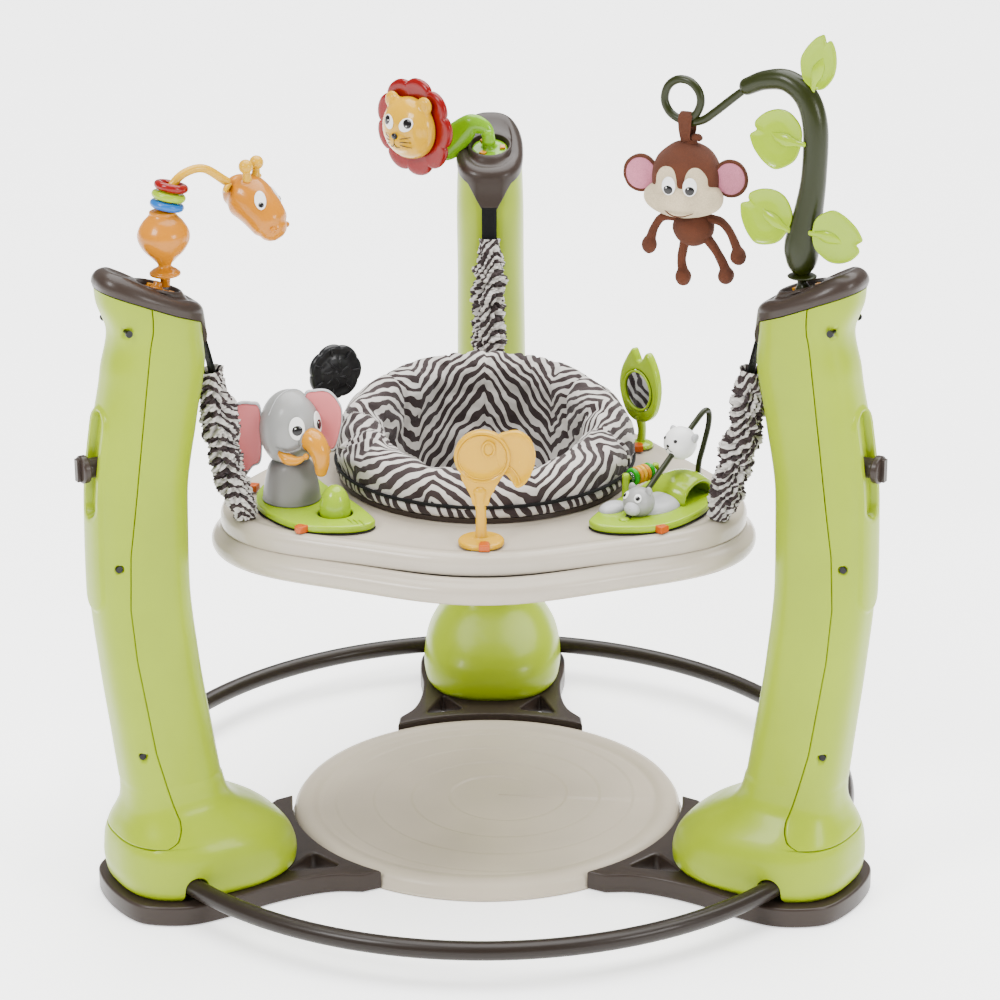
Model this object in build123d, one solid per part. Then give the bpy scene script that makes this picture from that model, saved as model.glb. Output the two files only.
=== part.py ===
from build123d import *
import math
import os

# Activity jumper: three towers on a round base, with a toy tray and a turning
# fabric seat hung between them on straps and springs.
# Millimetres. Origin on the floor at the centre of the base, +Z up, front is -Y.
# Each tower is built along +X (x = distance from the centre, y = across the
# tower) and then turned about Z to its own direction.

os.makedirs("parts", exist_ok=True)

# ---- driving dimensions ----
TOWER_DIRECTIONS = {"left": 210, "right": 330, "back": 90}
WALL = 3.0

# base
PAD_RADIUS = 238.0
PAD_HEIGHT = 22.0
PAD_SKIN = 4.0
PAD_FOOT_RADIUS = 60.0
RING_RADIUS = 440.0
TUBE_RADIUS = 11.0
TUBE_BORE_RADIUS = 9.5
TUBE_Z = 42.6
TUBE_END_ANGLE = 7.5
PLATE_HEIGHT = 25.0
PLATE_OUTER_REACH = 503.0
PLATE_HALF_WIDTH = 95.0
PLATE_ARM_HALF_WIDTH = 128.0

# tower column: height, centre distance, half depth, half width
TOWER_SECTIONS = [
    (60, 414, 57, 52),
    (110, 417, 58, 51),
    (200, 428, 57, 48),
    (300, 441, 56, 46),
    (400, 449, 56, 45),
    (500, 447, 56, 44),
    (590, 434, 58, 43),
    (650, 422, 58, 43),
    (695, 418, 52, 42),
    (735, 424, 58, 40),
    (775, 428, 56, 37),
]
TOWER_POWER = 2.6
# foot boot: height, centre distance, half depth, half width
BOOT_SECTIONS = [
    (25, 385, 109, 88),
    (50, 386, 110, 90),
    (80, 394, 98, 83),
    (105, 405, 78, 68),
    (122, 414, 62, 54),
]
BOOT_POWER = 2.3
# seam between the inner and outer tower shells, in side view
SEAM = [(437, 780), (437, 707), (475, 447), (478, 384), (473, 320), (456, 202), (436, 118)]
SEAM_FOOT = [(441, 97), (458, 90), (530, 90), (530, 780)]
# cap: points of the sloping seam under it and of its sloping top
CAP_SEAM = [(500, 754), (449, 736), (408, 718), (360, 697)]
CAP_TOP = [(500, 776), (470, 766), (376, 724), (340, 708)]
SPOUT_BOTTOM = 670.0
SPOUT_TOP = 722.0
SPOUT_HALF_WIDTH = 13.5
SPOUT_TOP_HALF_WIDTH = 34.0
SOCKET_CENTRE = (412.0, 742.0)
SOCKET_TILT = 18.0
SOCKET_RADIUS = 24.0
SOCKET_DEPTH = 9.0
SLOT_BOTTOM = 489.0
SLOT_TOP = 608.0
SLOT_HALF_WIDTH = 13.0
KNOB_Z = 545.0
KNOB_RADIUS = 16.0
SCREW_SPOTS = [(463, 705), (488, 433), (470, 199)]
SCREW_RADIUS = 4.0

# straps, springs and covers, from the knob up inside the tower, out of the
# spout and down to the tray
STRAP_KNEE = (350.5, 636.0)
STRAP_ROUTE = [
    (477, 536), (477, 590), (469, 648), (457, 700), (440, 709), (376, 711),
    (364, 704), (359.5, 688), STRAP_KNEE, (347.0, 612.0),
]
SPRING_TOP = (347.0, 608.0)
SPRING_BOTTOM = (314.5, 470.0)
TRAY_HANG = (313.0, 452.0)
STRAP_WIDTH = 19.0
STRAP_THICKNESS = 2.0
SPRING_RADIUS = 9.0
SPRING_WIRE = 1.25
SPRING_PITCH = 8.0
COVER_RADII = [12.5, 17.0, 21.0, 21.5, 21.0, 17.5, 12.5]
COVER_WALL = 2.0

# tray outline: radius at an angle = base + lobes under the straps + front bulge
TRAY_BASE_RADIUS = 246.0
TRAY_LOBE = 92.0
TRAY_LOBE_ANGLES = (90, 205, 335)
TRAY_LOBE_SPREAD = 28.0
TRAY_FRONT = 50.0
TRAY_UPPER_FRONT = 42.0
TRAY_FRONT_SPREAD = 42.0
TRAY_TOP_Z = 449.0
TRAY_SPLIT_Z = 424.0
TRAY_BOTTOM_Z = 393.0
TRAY_UPPER_INSET = 12.0
TRAY_HOLE_RADIUS = 165.0
TRAY_SCREW_INSET = 30.0
TRAY_SCREW_ANGLES = (30, 68, 112, 150, 190, 230, 270, 310, 350)

# seat
SEAT_RING_RADIUS = 174.0
SEAT_BARREL_RADIUS = 163.0
SEAT_BACK_TILT = 9.0
SEAT_ROLL_Z = 508.0
SEAT_BOTTOM_Z = 318.0
LEG_HOLE_RADIUS = 44.0

# tray toys: each toy base is a bow-shaped plate beside the seat
TOY_BASE_ANGLE = 50.0
TOY_BASE_NEAR = [(209, 58), (190, -25), (178, -108)]
TOY_BASE_FAR = [(178, -108), (230, -120), (279, -77), (291, -28), (286, 18), (262, 50), (228, 68), (209, 58)]
TOY_BASE_HEIGHT = 9.0
ELEPHANT = (-222.0, -114.0)
ELEPHANT_HEAD_Z = 544.0
ELEPHANT_FACING = -45.0
EAR_FACING = -85.0
ELEPHANT_BUTTON = (-169.0, -160.0)
TOUCAN_Y = -234.0
TOUCAN_DISC = (2.0, 553.0)
MIRROR = (187.0, 92.0)
MIRROR_Z = 527.0
SPINNER = (-187.0, 92.0)
SPINNER_Z = 547.0
SPINNER_FACING = -60.0
WIRE_RADIUS = 3.4
WIRE_START = (160.5, -186.0, 453.0)
HIPPO = (179.0, -163.0, 472.0)
LAMB = (228.0, -102.0, 522.0)
WIRE_TURN = (247.0, -79.0, 541.0)
WIRE_END = (250.0, -72.0, 455.0)
ROLLER = (183.0, -92.0, 480.0)
ROLLER_HALF_LENGTH = 20.0
ROLLER_RADIUS = 10.0

# tower toys, in the tower's own frame (x = distance from the centre, z)
NECK_RADIUS = 4.8
GIRAFFE_NECK = [(398, 818), (395, 840), (388, 856), (372, 867), (350, 868), (324, 850)]
GIRAFFE_HEAD = (298.0, 828.0)
# rings on the giraffe's neck: distance, height, tilt
GIRAFFE_RINGS = {
    "ring_blue": (396.5, 833.0, 14),
    "ring_lime": (394.0, 843.2, 14),
    "ring_red": (390.5, 853.5, 14),
}
RING_TOY_RADIUS = 14.5
RING_TOY_SECTION = 4.9
LION_CENTRE = (392.0, 92.0, 773.0)
LION_FACING = 40.0
LION_MANE_RADIUS = 64.0
LION_FACE_RADIUS = 40.0
VINE_SECTIONS = [
    ((410, 757), 8), ((409, 772), 17), ((409, 790), 19), ((416, 830), 16),
    ((421, 870), 14), ((422, 920), 14), ((412, 948), 13.5), ((390, 963), 12.5),
    ((362, 962), 11), ((338, 955), 9.5),
]
HOOK_ROD = [(340, 956), (318, 938), (300, 921), (281, 914)]
HOOK_LOOP_CENTRE = (259.0, 934.0)
HOOK_LOOP_RADIUS = 23.0
HOOK_SECTION = 4.6
MONKEY_PIVOT = (259.0, 911.0)
MONKEY_HEAD_Z = 843.0
MONKEY_HEAD_RADIUS = 44.0


# ---- helpers ----
def polar(distance, angle):
    return (distance * math.cos(math.radians(angle)), distance * math.sin(math.radians(angle)))


def save(shape, node):
    export_step(shape, f"parts/{node}.step")


def turned(shape, angle):
    return Rot(0, 0, angle) * shape


def rounded_power(value, power):
    return math.copysign(abs(value) ** (2 / power), value)


def oval_face(z, centre, half_depth, half_width, power, inset=0.0):
    points = []
    for step in range(16):
        t = 2 * math.pi * step / 16
        x = centre + (half_depth - inset) * rounded_power(math.cos(t), power)
        y = (half_width - inset) * rounded_power(math.sin(t), power)
        points.append((x, y, z))
    return Face(Wire([Spline(*points, periodic=True)]))


def oval_loft(sections, power, inset=0.0):
    return loft([oval_face(z, c, a, b, power, inset) for z, c, a, b in sections])


def side_prism(points, half_width):
    """Prism across the tower from an outline in side view (x, z)."""
    outline = Polyline(*[(x, 0, z) for x, z in points], close=True)
    return extrude(Face(Wire(outline.edges())), half_width, dir=(0, 1, 0), both=True)


def bar(start, end, radius):
    """Round bar between two points."""
    direction = Vector(*end) - Vector(*start)
    plane = Plane(origin=start, z_dir=direction)
    return extrude(plane * Circle(radius), direction.length)


def ball(centre, radii):
    """Ellipsoid with its three half axes."""
    rx, ry, rz = radii
    return Pos(*centre) * scale(Sphere(1), by=(rx, ry, rz))


def chain(points, radii):
    """Smooth solid through round sections along a line of points."""
    sections = []
    last = len(points) - 1
    for index, (point, radius) in enumerate(zip(points, radii)):
        before = Vector(*points[max(index - 1, 0)])
        after = Vector(*points[min(index + 1, last)])
        sections.append(Plane(origin=point, z_dir=after - before) * Circle(radius))
    return loft(sections)


def pipe(points, radius, bends):
    """Round rod with straight runs joined by tangent arcs."""
    path = FilletPolyline(*points, radius=bends)
    start = Plane(origin=path @ 0, z_dir=path % 0)
    return sweep(start * Circle(radius), path=path)


def solid_of_turn(points):
    """Solid of revolution about Z from an outline of (radius, z)."""
    outline = Polyline(*[(r, 0, z) for r, z in points], close=True)
    return revolve(Face(Wire(outline.edges())), Axis.Z, 360)


# ---- base ----
def foot_pad():
    outline = [
        (0, 0), (PAD_FOOT_RADIUS, 0), (PAD_FOOT_RADIUS, PAD_HEIGHT - 5 - PAD_SKIN),
        (PAD_RADIUS - 14, PAD_HEIGHT - 5 - PAD_SKIN), (PAD_RADIUS - 7, 0), (PAD_RADIUS - 1, 0),
        (PAD_RADIUS, 3), (PAD_RADIUS, 13), (PAD_RADIUS - 4, 19), (PAD_RADIUS - 11, PAD_HEIGHT),
        (PAD_RADIUS - 22, PAD_HEIGHT - 1), (PAD_RADIUS - 34, PAD_HEIGHT - 5),
        (0, PAD_HEIGHT - 5),
    ]
    return solid_of_turn(outline)


def plate_outline(inset):
    """Plan outline of a foot plate, with horns that hug the pad."""
    half = PLATE_HALF_WIDTH - inset
    reach = PLATE_OUTER_REACH - inset
    horn = PLATE_ARM_HALF_WIDTH - inset
    pad_edge = PAD_RADIUS + 0.5 + inset
    horn_x = math.sqrt(pad_edge ** 2 - horn ** 2) + inset
    with BuildLine() as line:
        Spline(
            (horn_x, -horn), (262, -half - 10), (300, -half - 1), (385, -half),
            (456, -half + 9), (reach - 12, -52), (reach, 0),
            (reach - 12, 52), (456, half - 9), (385, half), (300, half + 1),
            (262, half + 10), (horn_x, horn),
        )
        ThreePointArc((horn_x, horn), (pad_edge + inset, 0), (horn_x, -horn))
    return make_face(line.line)


def base_plate():
    plate = extrude(plate_outline(0), PLATE_HEIGHT)
    hollow = extrude(plate_outline(5), PLATE_HEIGHT - 4)
    windows = Part()
    for side in (1, -1):
        corner_points = [(262, 38 * side), (304, 66 * side), (243, 84 * side)]
        opening = make_face(Polyline(*corner_points, close=True))
        windows += extrude(fillet(opening.vertices(), 5), PLATE_HEIGHT)
        rim = offset(fillet(opening.vertices(), 5), 3)
        hollow -= extrude(rim, PLATE_HEIGHT)
    return plate - hollow - windows


def base_tube():
    """Bent tube from one foot to the next, centred on -Y."""
    ring = Pos(RING_RADIUS, 0, TUBE_Z) * Rot(90, 0, 0) * (Circle(TUBE_RADIUS) - Circle(TUBE_BORE_RADIUS))
    arc = revolve(ring, Axis.Z, 120 - 2 * TUBE_END_ANGLE)
    return turned(arc, 210 + TUBE_END_ANGLE)


# ---- towers ----
TOWER_OUTER = oval_loft(TOWER_SECTIONS, TOWER_POWER)
TOWER_INNER = oval_loft(TOWER_SECTIONS, TOWER_POWER, WALL)
BOOT_OUTER = oval_loft(BOOT_SECTIONS, BOOT_POWER)
BOOT_INNER = oval_loft(BOOT_SECTIONS, BOOT_POWER, WALL)
OUTER_SIDE = side_prism(SEAM + SEAM_FOOT, 80)
CAP_SPACE = side_prism(CAP_SEAM + [(340, 697), (340, 790), (500, 790)], 80)


def tube_clearance():
    section = Pos(RING_RADIUS, 0, TUBE_Z) * Rot(90, 0, 0) * Circle(TUBE_RADIUS + 0.4)
    return turned(revolve(section, Axis.Z, 40), -20)


def height_slot():
    middle = (SLOT_BOTTOM + SLOT_TOP) / 2
    length = SLOT_TOP - SLOT_BOTTOM
    section = Plane(origin=(470, 0, middle), x_dir=(0, 0, 1), z_dir=(1, 0, 0))
    return extrude(section * SlotOverall(length, 2 * SLOT_HALF_WIDTH), 60)


COLUMN = TOWER_OUTER - TOWER_INNER - CAP_SPACE


def tower_inner_shell():
    column = COLUMN - OUTER_SIDE - BOOT_INNER
    boot = BOOT_OUTER - BOOT_INNER - TOWER_INNER - OUTER_SIDE
    return column + boot - tube_clearance() - strap_passage()


def tower_outer_shell():
    bosses = Part()
    for x, z in SCREW_SPOTS:
        for side in (-1, 1):
            bosses += Pos(x, side * 34, z) * Rot(90, 0, 0) * Cylinder(SCREW_RADIUS + 2.5, 18)
    bosses = bosses & TOWER_OUTER
    column = (COLUMN & OUTER_SIDE) + bosses - height_slot()
    for x, z in SCREW_SPOTS:
        for side in (-1, 1):
            column -= tower_screw(x, z, side, 0.2)
    return column


def ribbon(points, thickness, width):
    """Flat band across the tower that follows a line of points (x, z)."""
    section = Plane.XZ * trace(Polyline(*points), line_width=thickness)
    return extrude(section, width / 2, both=True)


def strap_passage():
    """Clearance through the cap and its spout for the strap."""
    return ribbon(STRAP_ROUTE, STRAP_THICKNESS + 3, STRAP_WIDTH + 4)


def tower_cap():
    top = side_prism(CAP_TOP + [(340, 800), (500, 800)], 80)
    shell_top = side_prism([(x, z - WALL) for x, z in CAP_TOP] + [(340, 800), (500, 800)], 80)
    lid = (TOWER_OUTER & CAP_SPACE) - top
    hollow = (TOWER_INNER & CAP_SPACE) - shell_top
    tongue = loft([
        Pos(0, 0, SPOUT_TOP) * (Pos(366, 0) * Rectangle(16, 2 * SPOUT_TOP_HALF_WIDTH)),
        Pos(0, 0, SPOUT_BOTTOM) * (Pos(359.5, 0) * Rectangle(13, 2 * SPOUT_HALF_WIDTH)),
    ])
    tongue = tongue - top - TOWER_OUTER
    place = Pos(SOCKET_CENTRE[0], 0, SOCKET_CENTRE[1]) * Rot(0, -SOCKET_TILT, 0)
    cup = place * Pos(0, 0, -SOCKET_DEPTH / 2) * Cylinder(SOCKET_RADIUS + WALL, SOCKET_DEPTH + 2 * WALL)
    bowl = place * Pos(0, 0, 15 - SOCKET_DEPTH) * Cylinder(SOCKET_RADIUS, 30)
    cap = lid - hollow + tongue + (cup & TOWER_OUTER & CAP_SPACE - top)
    return cap - bowl - strap_passage()


def tower_screw(x, z, side, clearance=0.0):
    """Screw set in the side of a tower; with a clearance it is the hole for it."""
    head_length = 3 if clearance == 0 else 20
    y = side * (36 + (head_length - 3) / 2)
    head = Pos(x, y, z) * Rot(90, 0, 0) * Cylinder(SCREW_RADIUS + clearance, head_length)
    shank = Pos(x, side * 30, z) * Rot(90, 0, 0) * Cylinder(1.8 + clearance, 12)
    return head + shank


def height_knob():
    face = Pos(510, 0, KNOB_Z) * Rot(0, 90, 0) * Cylinder(KNOB_RADIUS, 9)
    grip = Pos(515, 0, KNOB_Z) * Box(8, 8, 26)
    stem = Pos(493, 0, KNOB_Z) * Rot(0, 90, 0) * Cylinder(SLOT_HALF_WIDTH - 1.5, 27)
    return fillet(face.edges().filter_by(GeomType.CIRCLE), 2.5) + grip + stem


# ---- hanging gear ----
def side_point(point, across=0.0):
    return (point[0], across, point[1])


def strap():
    return ribbon(STRAP_ROUTE, STRAP_THICKNESS, STRAP_WIDTH)


def spring():
    top = Vector(*side_point(SPRING_TOP))
    bottom = Vector(*side_point(SPRING_BOTTOM))
    length = (top - bottom).length
    coil = Helix(pitch=SPRING_PITCH, height=length, radius=SPRING_RADIUS)
    start = Plane(origin=coil @ 0, z_dir=coil % 0)
    solid = sweep(start * Circle(SPRING_WIRE), path=coil, is_frenet=True)
    return Plane(origin=bottom, z_dir=top - bottom) * solid


def cover_lofts(inset):
    top = Vector(*side_point(STRAP_KNEE))
    bottom = Vector(*side_point(TRAY_HANG))
    sections = []
    last = len(COVER_RADII) - 1
    for index, radius in enumerate(COVER_RADII):
        centre = top + (bottom - top) * (index / last)
        sections.append(Plane(origin=centre, z_dir=bottom - top) * Circle(radius - inset))
    return loft(sections)


def spring_cover():
    return cover_lofts(0) - cover_lofts(COVER_WALL)


def strap_anchor():
    """Loop that holds the lower end of a spring on the tray."""
    post = Pos(TRAY_HANG[0] - 2, 0, TRAY_TOP_Z + 1.25) * Box(12, 14, 2.5)
    loop = Pos(TRAY_HANG[0], 0, TRAY_TOP_Z + 8) * Rot(0, 90, 0) * Torus(6.0, 1.8)
    return post + loop


# ---- tray ----
def tray_radius(angle, front=TRAY_FRONT):
    radius = TRAY_BASE_RADIUS
    for lobe in TRAY_LOBE_ANGLES:
        away = (angle - lobe + 180) % 360 - 180
        radius += TRAY_LOBE * math.exp(-((away / TRAY_LOBE_SPREAD) ** 2))
    away = (angle - 270 + 180) % 360 - 180
    return radius + front * math.exp(-((away / TRAY_FRONT_SPREAD) ** 2))


def tray_face(z, inset, front):
    points = []
    for step in range(36):
        angle = 10 * step
        x, y = polar(tray_radius(angle, front) - inset, angle)
        points.append((x, y, z))
    return Face(Wire([Spline(*points, periodic=True)]))


def tray_loft(levels, front):
    return loft([tray_face(z, inset, front) for z, inset in levels])


def hole(radius, low, high):
    return Pos(0, 0, (low + high) / 2) * Cylinder(radius, high - low)


def tray_top():
    upper = TRAY_UPPER_INSET
    levels = [(TRAY_SPLIT_Z, upper), (435, upper), (442, upper + 1.5), (446.5, upper + 5), (TRAY_TOP_Z, upper + 11)]
    inner = [(TRAY_SPLIT_Z, upper + WALL), (435, upper + WALL), (TRAY_TOP_Z - WALL, upper + 12)]
    shell = tray_loft(levels, TRAY_UPPER_FRONT) - tray_loft(inner, TRAY_UPPER_FRONT)
    collar = hole(TRAY_HOLE_RADIUS + WALL, TRAY_SPLIT_Z, TRAY_TOP_Z)
    shell = shell + collar - hole(TRAY_HOLE_RADIUS, 400, 470)
    for x, y in tray_screw_spots():
        boss = Pos(x, y, 422) * Cylinder(5, 50)
        shell += boss
        shell -= Pos(x, y, 408) * Cylinder(1.8, 26)
    return shell


def tray_bottom():
    levels = [(TRAY_BOTTOM_Z, 14), (397, 5), (404, 1), (412, 2), (419, 8), (TRAY_SPLIT_Z, 15)]
    inner = [(TRAY_BOTTOM_Z + WALL, 16), (404, 1 + WALL), (412, 2 + WALL), (TRAY_SPLIT_Z, 15 + WALL)]
    shell = tray_loft(levels, TRAY_FRONT) - tray_loft(inner, TRAY_FRONT)
    collar = hole(TRAY_HOLE_RADIUS + WALL, TRAY_BOTTOM_Z, TRAY_SPLIT_Z)
    shell = shell + collar - hole(TRAY_HOLE_RADIUS, 380, 430)
    for x, y in tray_screw_spots():
        shell -= Pos(x, y, TRAY_BOTTOM_Z) * Cylinder(2.2, 20)
    return shell


def tray_screw_spots():
    return [polar(tray_radius(angle) - TRAY_SCREW_INSET, angle) for angle in TRAY_SCREW_ANGLES]


def tray_screws():
    screws = []
    for x, y in tray_screw_spots():
        head = Pos(x, y, TRAY_BOTTOM_Z - 1) * Cylinder(4, 2)
        shank = Pos(x, y, TRAY_BOTTOM_Z + 13) * Cylinder(1.8, 26)
        screws.append(head + shank)
    return screws


# ---- seat ----
def seat_ring():
    flange = hole(SEAT_RING_RADIUS, 449.5, 455) - hole(SEAT_BARREL_RADIUS - 9, 440, 470)
    barrel = hole(SEAT_BARREL_RADIUS, 430, 450) - hole(SEAT_BARREL_RADIUS - 4, 420, 470)
    clips = hole(SEAT_BARREL_RADIUS + 1, 430, 433) - hole(SEAT_BARREL_RADIUS - 4, 420, 470)
    return flange + barrel + clips


def seat_wall(radii):
    """Loft from the ring up to the tilted top of the seat."""
    low, middle, top = radii
    tilt = Pos(0, 0, SEAT_ROLL_Z) * Rot(SEAT_BACK_TILT, 0, 0)
    lift = Pos(0, 0, SEAT_ROLL_Z + 24) * Rot(SEAT_BACK_TILT, 0, 0)
    return loft([
        Pos(0, 0, 455.5) * Circle(low),
        Pos(0, 0, 474) * Circle(low + 1),
        tilt * Circle(middle),
        lift * Circle(top),
    ])


def seat_fabric():
    upper = seat_wall((172, 166, 140)) - seat_wall((132, 122, 119))
    bag_outer = [(0, SEAT_BOTTOM_Z), (70, SEAT_BOTTOM_Z + 6), (112, 345), (140, 390), (151, 430), (153, 456), (172, 456), (172, 462)]
    bag_inner = [(128, 462), (134, 430), (128, 392), (103, 352), (66, SEAT_BOTTOM_Z + 14), (0, SEAT_BOTTOM_Z + 9)]
    bag = solid_of_turn(bag_outer + bag_inner)
    holes = Part()
    for side in (-1, 1):
        place = Pos(side * 70, -70, 358) * Rot(0, 0, 45 * side) * Rot(125, 0, 0)
        holes += place * Cylinder(LEG_HOLE_RADIUS, 100)
    front = Pos(0, -100, 380) * Box(400, 200, 130)
    return upper + (bag - (holes & front))


# ---- tray toys ----
def toy_base(side):
    """Bow-shaped toy plate on the front left (-1) or front right (+1) of the tray."""
    near = ThreePointArc(*[(x, -side * y) for x, y in TOY_BASE_NEAR])
    far = Spline(*[(x, -side * y) for x, y in TOY_BASE_FAR])
    outline = make_face([near, far])
    outline = fillet(outline.vertices(), 6)
    plate = extrude(outline, TOY_BASE_HEIGHT)
    plate = chamfer(plate.faces().sort_by(Axis.Z)[-1].edges(), 2)
    return Pos(0, 0, TRAY_TOP_Z) * turned(plate, 270 + TOY_BASE_ANGLE * side)


def elephant_body():
    x, y = ELEPHANT
    low = TRAY_TOP_Z + TOY_BASE_HEIGHT
    outline = [(0, low), (33, low), (33, low + 8), (30, low + 24), (25, low + 40), (17, low + 47), (7, low + 47), (7, low + 66), (0, low + 66)]
    return Pos(x, y, 0) * solid_of_turn(outline)


def toward(point, angle, distance, across=0.0, z=0.0):
    dx, dy = polar(distance, angle)
    sx, sy = polar(across, angle + 90)
    return (point[0] + dx + sx, point[1] + dy + sy, z)


def elephant_head():
    centre = (*ELEPHANT, ELEPHANT_HEAD_Z)
    skull = ball(centre, (36, 36, 45))
    bore = Pos(ELEPHANT[0], ELEPHANT[1], 508) * Cylinder(8, 50)
    neck_gap = Pos(ELEPHANT[0], ELEPHANT[1], 496) * Cylinder(40, 22)
    trunk_spots = [(28, 538, 13), (42, 537, 13), (51, 527, 12), (54, 514, 9), (51, 503, 6)]
    trunk = chain(
        [toward(ELEPHANT, ELEPHANT_FACING, d, 0, z) for d, z, r in trunk_spots],
        [r for d, z, r in trunk_spots],
    )
    head = skull + trunk
    for side in (1, -1):
        root = toward(ELEPHANT, ELEPHANT_FACING, 20, 25 * side, 524)
        tip = toward(ELEPHANT, ELEPHANT_FACING, 46, 16 * side, 520)
        head += chain([root, toward(ELEPHANT, ELEPHANT_FACING, 33, 23 * side, 519), tip], [7, 7, 4])
    return head - bore - neck_gap


def elephant_ears():
    """Two thin ears that stand out from the sides of the head."""
    ears = []
    for side, lift in ((-1, 0), (1, 14)):
        outline = Spline((0, 38), (30, 40), (44, 8), (40, -34), (32, -48), (14, -34), (0, -22))
        closing = Line((0, -22), (0, 38))
        blade = extrude(make_face([outline, closing]), 5)
        heading = EAR_FACING + 90 * side
        place = Plane(
            origin=toward(ELEPHANT, heading, 33.5, 0, ELEPHANT_HEAD_Z + lift - 6),
            x_dir=(*polar(1, heading), 0),
            z_dir=(*polar(1, EAR_FACING), 0),
        )
        ears.append(place * blade)
    return ears


def elephant_button():
    x, y = ELEPHANT_BUTTON
    low = TRAY_TOP_Z + TOY_BASE_HEIGHT + 4.5
    outline = [(0, low), (17, low), (17.5, low + 8), (14, low + 20), (7, low + 27), (0, low + 29)]
    return Pos(x, y, 0) * solid_of_turn(outline)


def toucan_teether():
    """Flat bird head on a stem, in a plane across the front of the tray."""
    x, z = TOUCAN_DISC
    facing = Plane(origin=(0, TOUCAN_Y, 0), x_dir=(1, 0, 0), z_dir=(0, -1, 0))
    with BuildSketch() as head:
        with Locations((x, z)):
            Ellipse(33, 31)
    beak = Spline((x + 22, z + 22), (x + 42, z + 30), (x + 58, z + 4), (x + 46, z - 32), (x + 38, z - 34), (x + 26, z - 12))
    beak_face = make_face([beak, Line((x + 26, z - 12), (x + 22, z + 22))])
    neck = make_face(Polyline((x - 20, z - 22), (x + 22, z - 22), (8, 500), (-8, 500), close=True))
    slab = extrude(facing * (head.sketch + beak_face + neck), 7, both=True)
    eye = extrude(facing * (Pos(x + 8, z + 10) * Ellipse(7, 9)), 10, both=True)
    stem = bar((0, TOUCAN_Y, 452), (0, TOUCAN_Y, 512), 6)
    foot = Pos(0, TOUCAN_Y, TRAY_TOP_Z + 3) * Cylinder(26, 6)
    return slab - eye + stem + foot


def leaf_face(width, height):
    outline = Spline((0, 0), (width * 0.42, height * 0.22), (width * 0.5, height * 0.5), (width * 0.3, height * 0.8), (width * 0.22, height * 0.98))
    notch = Line((width * 0.22, height * 0.98), (0, height * 0.8))
    left_tip = Line((0, height * 0.8), (-width * 0.12, height))
    back = Spline((-width * 0.12, height), (-width * 0.4, height * 0.7), (-width * 0.5, height * 0.4), (-width * 0.36, height * 0.1), (0, 0))
    return make_face([outline, notch, left_tip, back])


def standing_plane(spot, z, facing):
    return Plane(origin=(*spot, z), x_dir=(*polar(1, facing + 90), 0), z_dir=(*polar(1, facing), 0))


def mirror_frame():
    facing = math.degrees(math.atan2(-MIRROR[1], -MIRROR[0])) + 12
    leaf = extrude(standing_plane(MIRROR, 480, facing) * leaf_face(72, 92), 5, both=True)
    seat = extrude(standing_plane(MIRROR, MIRROR_Z - 6, facing) * Circle(25.5), 6)
    stem = chain(
        [(*MIRROR, TRAY_TOP_Z + 4), (MIRROR[0] + 4, MIRROR[1], 464), (*MIRROR, 487)],
        [7, 5, 5],
    )
    foot = Pos(*MIRROR, TRAY_TOP_Z + 3) * Cylinder(16, 6)
    return leaf - seat + stem + foot


def mirror_glass():
    facing = math.degrees(math.atan2(-MIRROR[1], -MIRROR[0])) + 12
    return extrude(standing_plane(MIRROR, MIRROR_Z - 6, facing) * Circle(25), 4)


def flower_stalk():
    stem = bar((*SPINNER, TRAY_TOP_Z + 4), (*SPINNER, SPINNER_Z), 5)
    foot = Pos(*SPINNER, TRAY_TOP_Z + 3) * Cylinder(16, 6)
    axle = bar((*SPINNER, SPINNER_Z), toward(SPINNER, SPINNER_FACING, 14, 0, SPINNER_Z), 3)
    return stem + foot + axle


def flower_spinner():
    """Petal wheel that turns on the stalk's axle and faces the front of the tray."""
    place = Plane(origin=toward(SPINNER, SPINNER_FACING, 6.5, 0, SPINNER_Z), z_dir=(*polar(1, SPINNER_FACING), 0))
    wheel = Circle(24)
    for petal in range(7):
        spot = polar(23, petal * 360 / 7)
        wheel += Pos(*spot) * Circle(12)
    solid = extrude(place * wheel, 9)
    return solid - bar((*SPINNER, SPINNER_Z), toward(SPINNER, SPINNER_FACING, 18, 0, SPINNER_Z), 3.3)


def bead_base():
    plate = toy_base(1)
    low = TRAY_TOP_Z + TOY_BASE_HEIGHT
    apex = (222, -92, low + 27)
    arch = bar((207, -110, low - 4), apex, 7) + bar(apex, (236, -76, low - 4), 7) + Pos(*apex) * Sphere(7)
    along = Vector(*polar(1, 45), 0)
    base = plate + (arch & Pos(220, -90, low + 50) * Box(120, 120, 100.5))
    for end in (-1, 1):
        spot = Vector(*ROLLER) + along * (end * (ROLLER_HALF_LENGTH + 5))
        base += Pos(spot.X, spot.Y, (low - 2 + ROLLER[2] + 5) / 2) * Cylinder(4, ROLLER[2] + 7 - low)
    base += Pos(WIRE_END[0], WIRE_END[1], low + 4) * Cylinder(7, 12)
    axle = bar(Vector(*ROLLER) - along * 27.5, Vector(*ROLLER) + along * 27.5, 2.3)
    dish = Pos(*HIPPO) * Sphere(19.2)
    return base - dish - bead_wire_path(WIRE_RADIUS + 0.05) - axle


def bead_wire_path(radius):
    points = [WIRE_START, WIRE_TURN, (262.0, -62.0, 556.0), (264.0, -60.0, 520.0), (250.0, -72.0, 490.0), WIRE_END]
    return pipe(points, radius, [14, 8, 20, 18])


def bead_wire():
    return bead_wire_path(WIRE_RADIUS)


def wire_bore(centre):
    along = Vector(*LAMB) - Vector(*HIPPO)
    along = along.normalized()
    middle = Vector(*centre)
    return bar(middle - along * 50, middle + along * 50, WIRE_RADIUS + 0.6)


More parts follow.
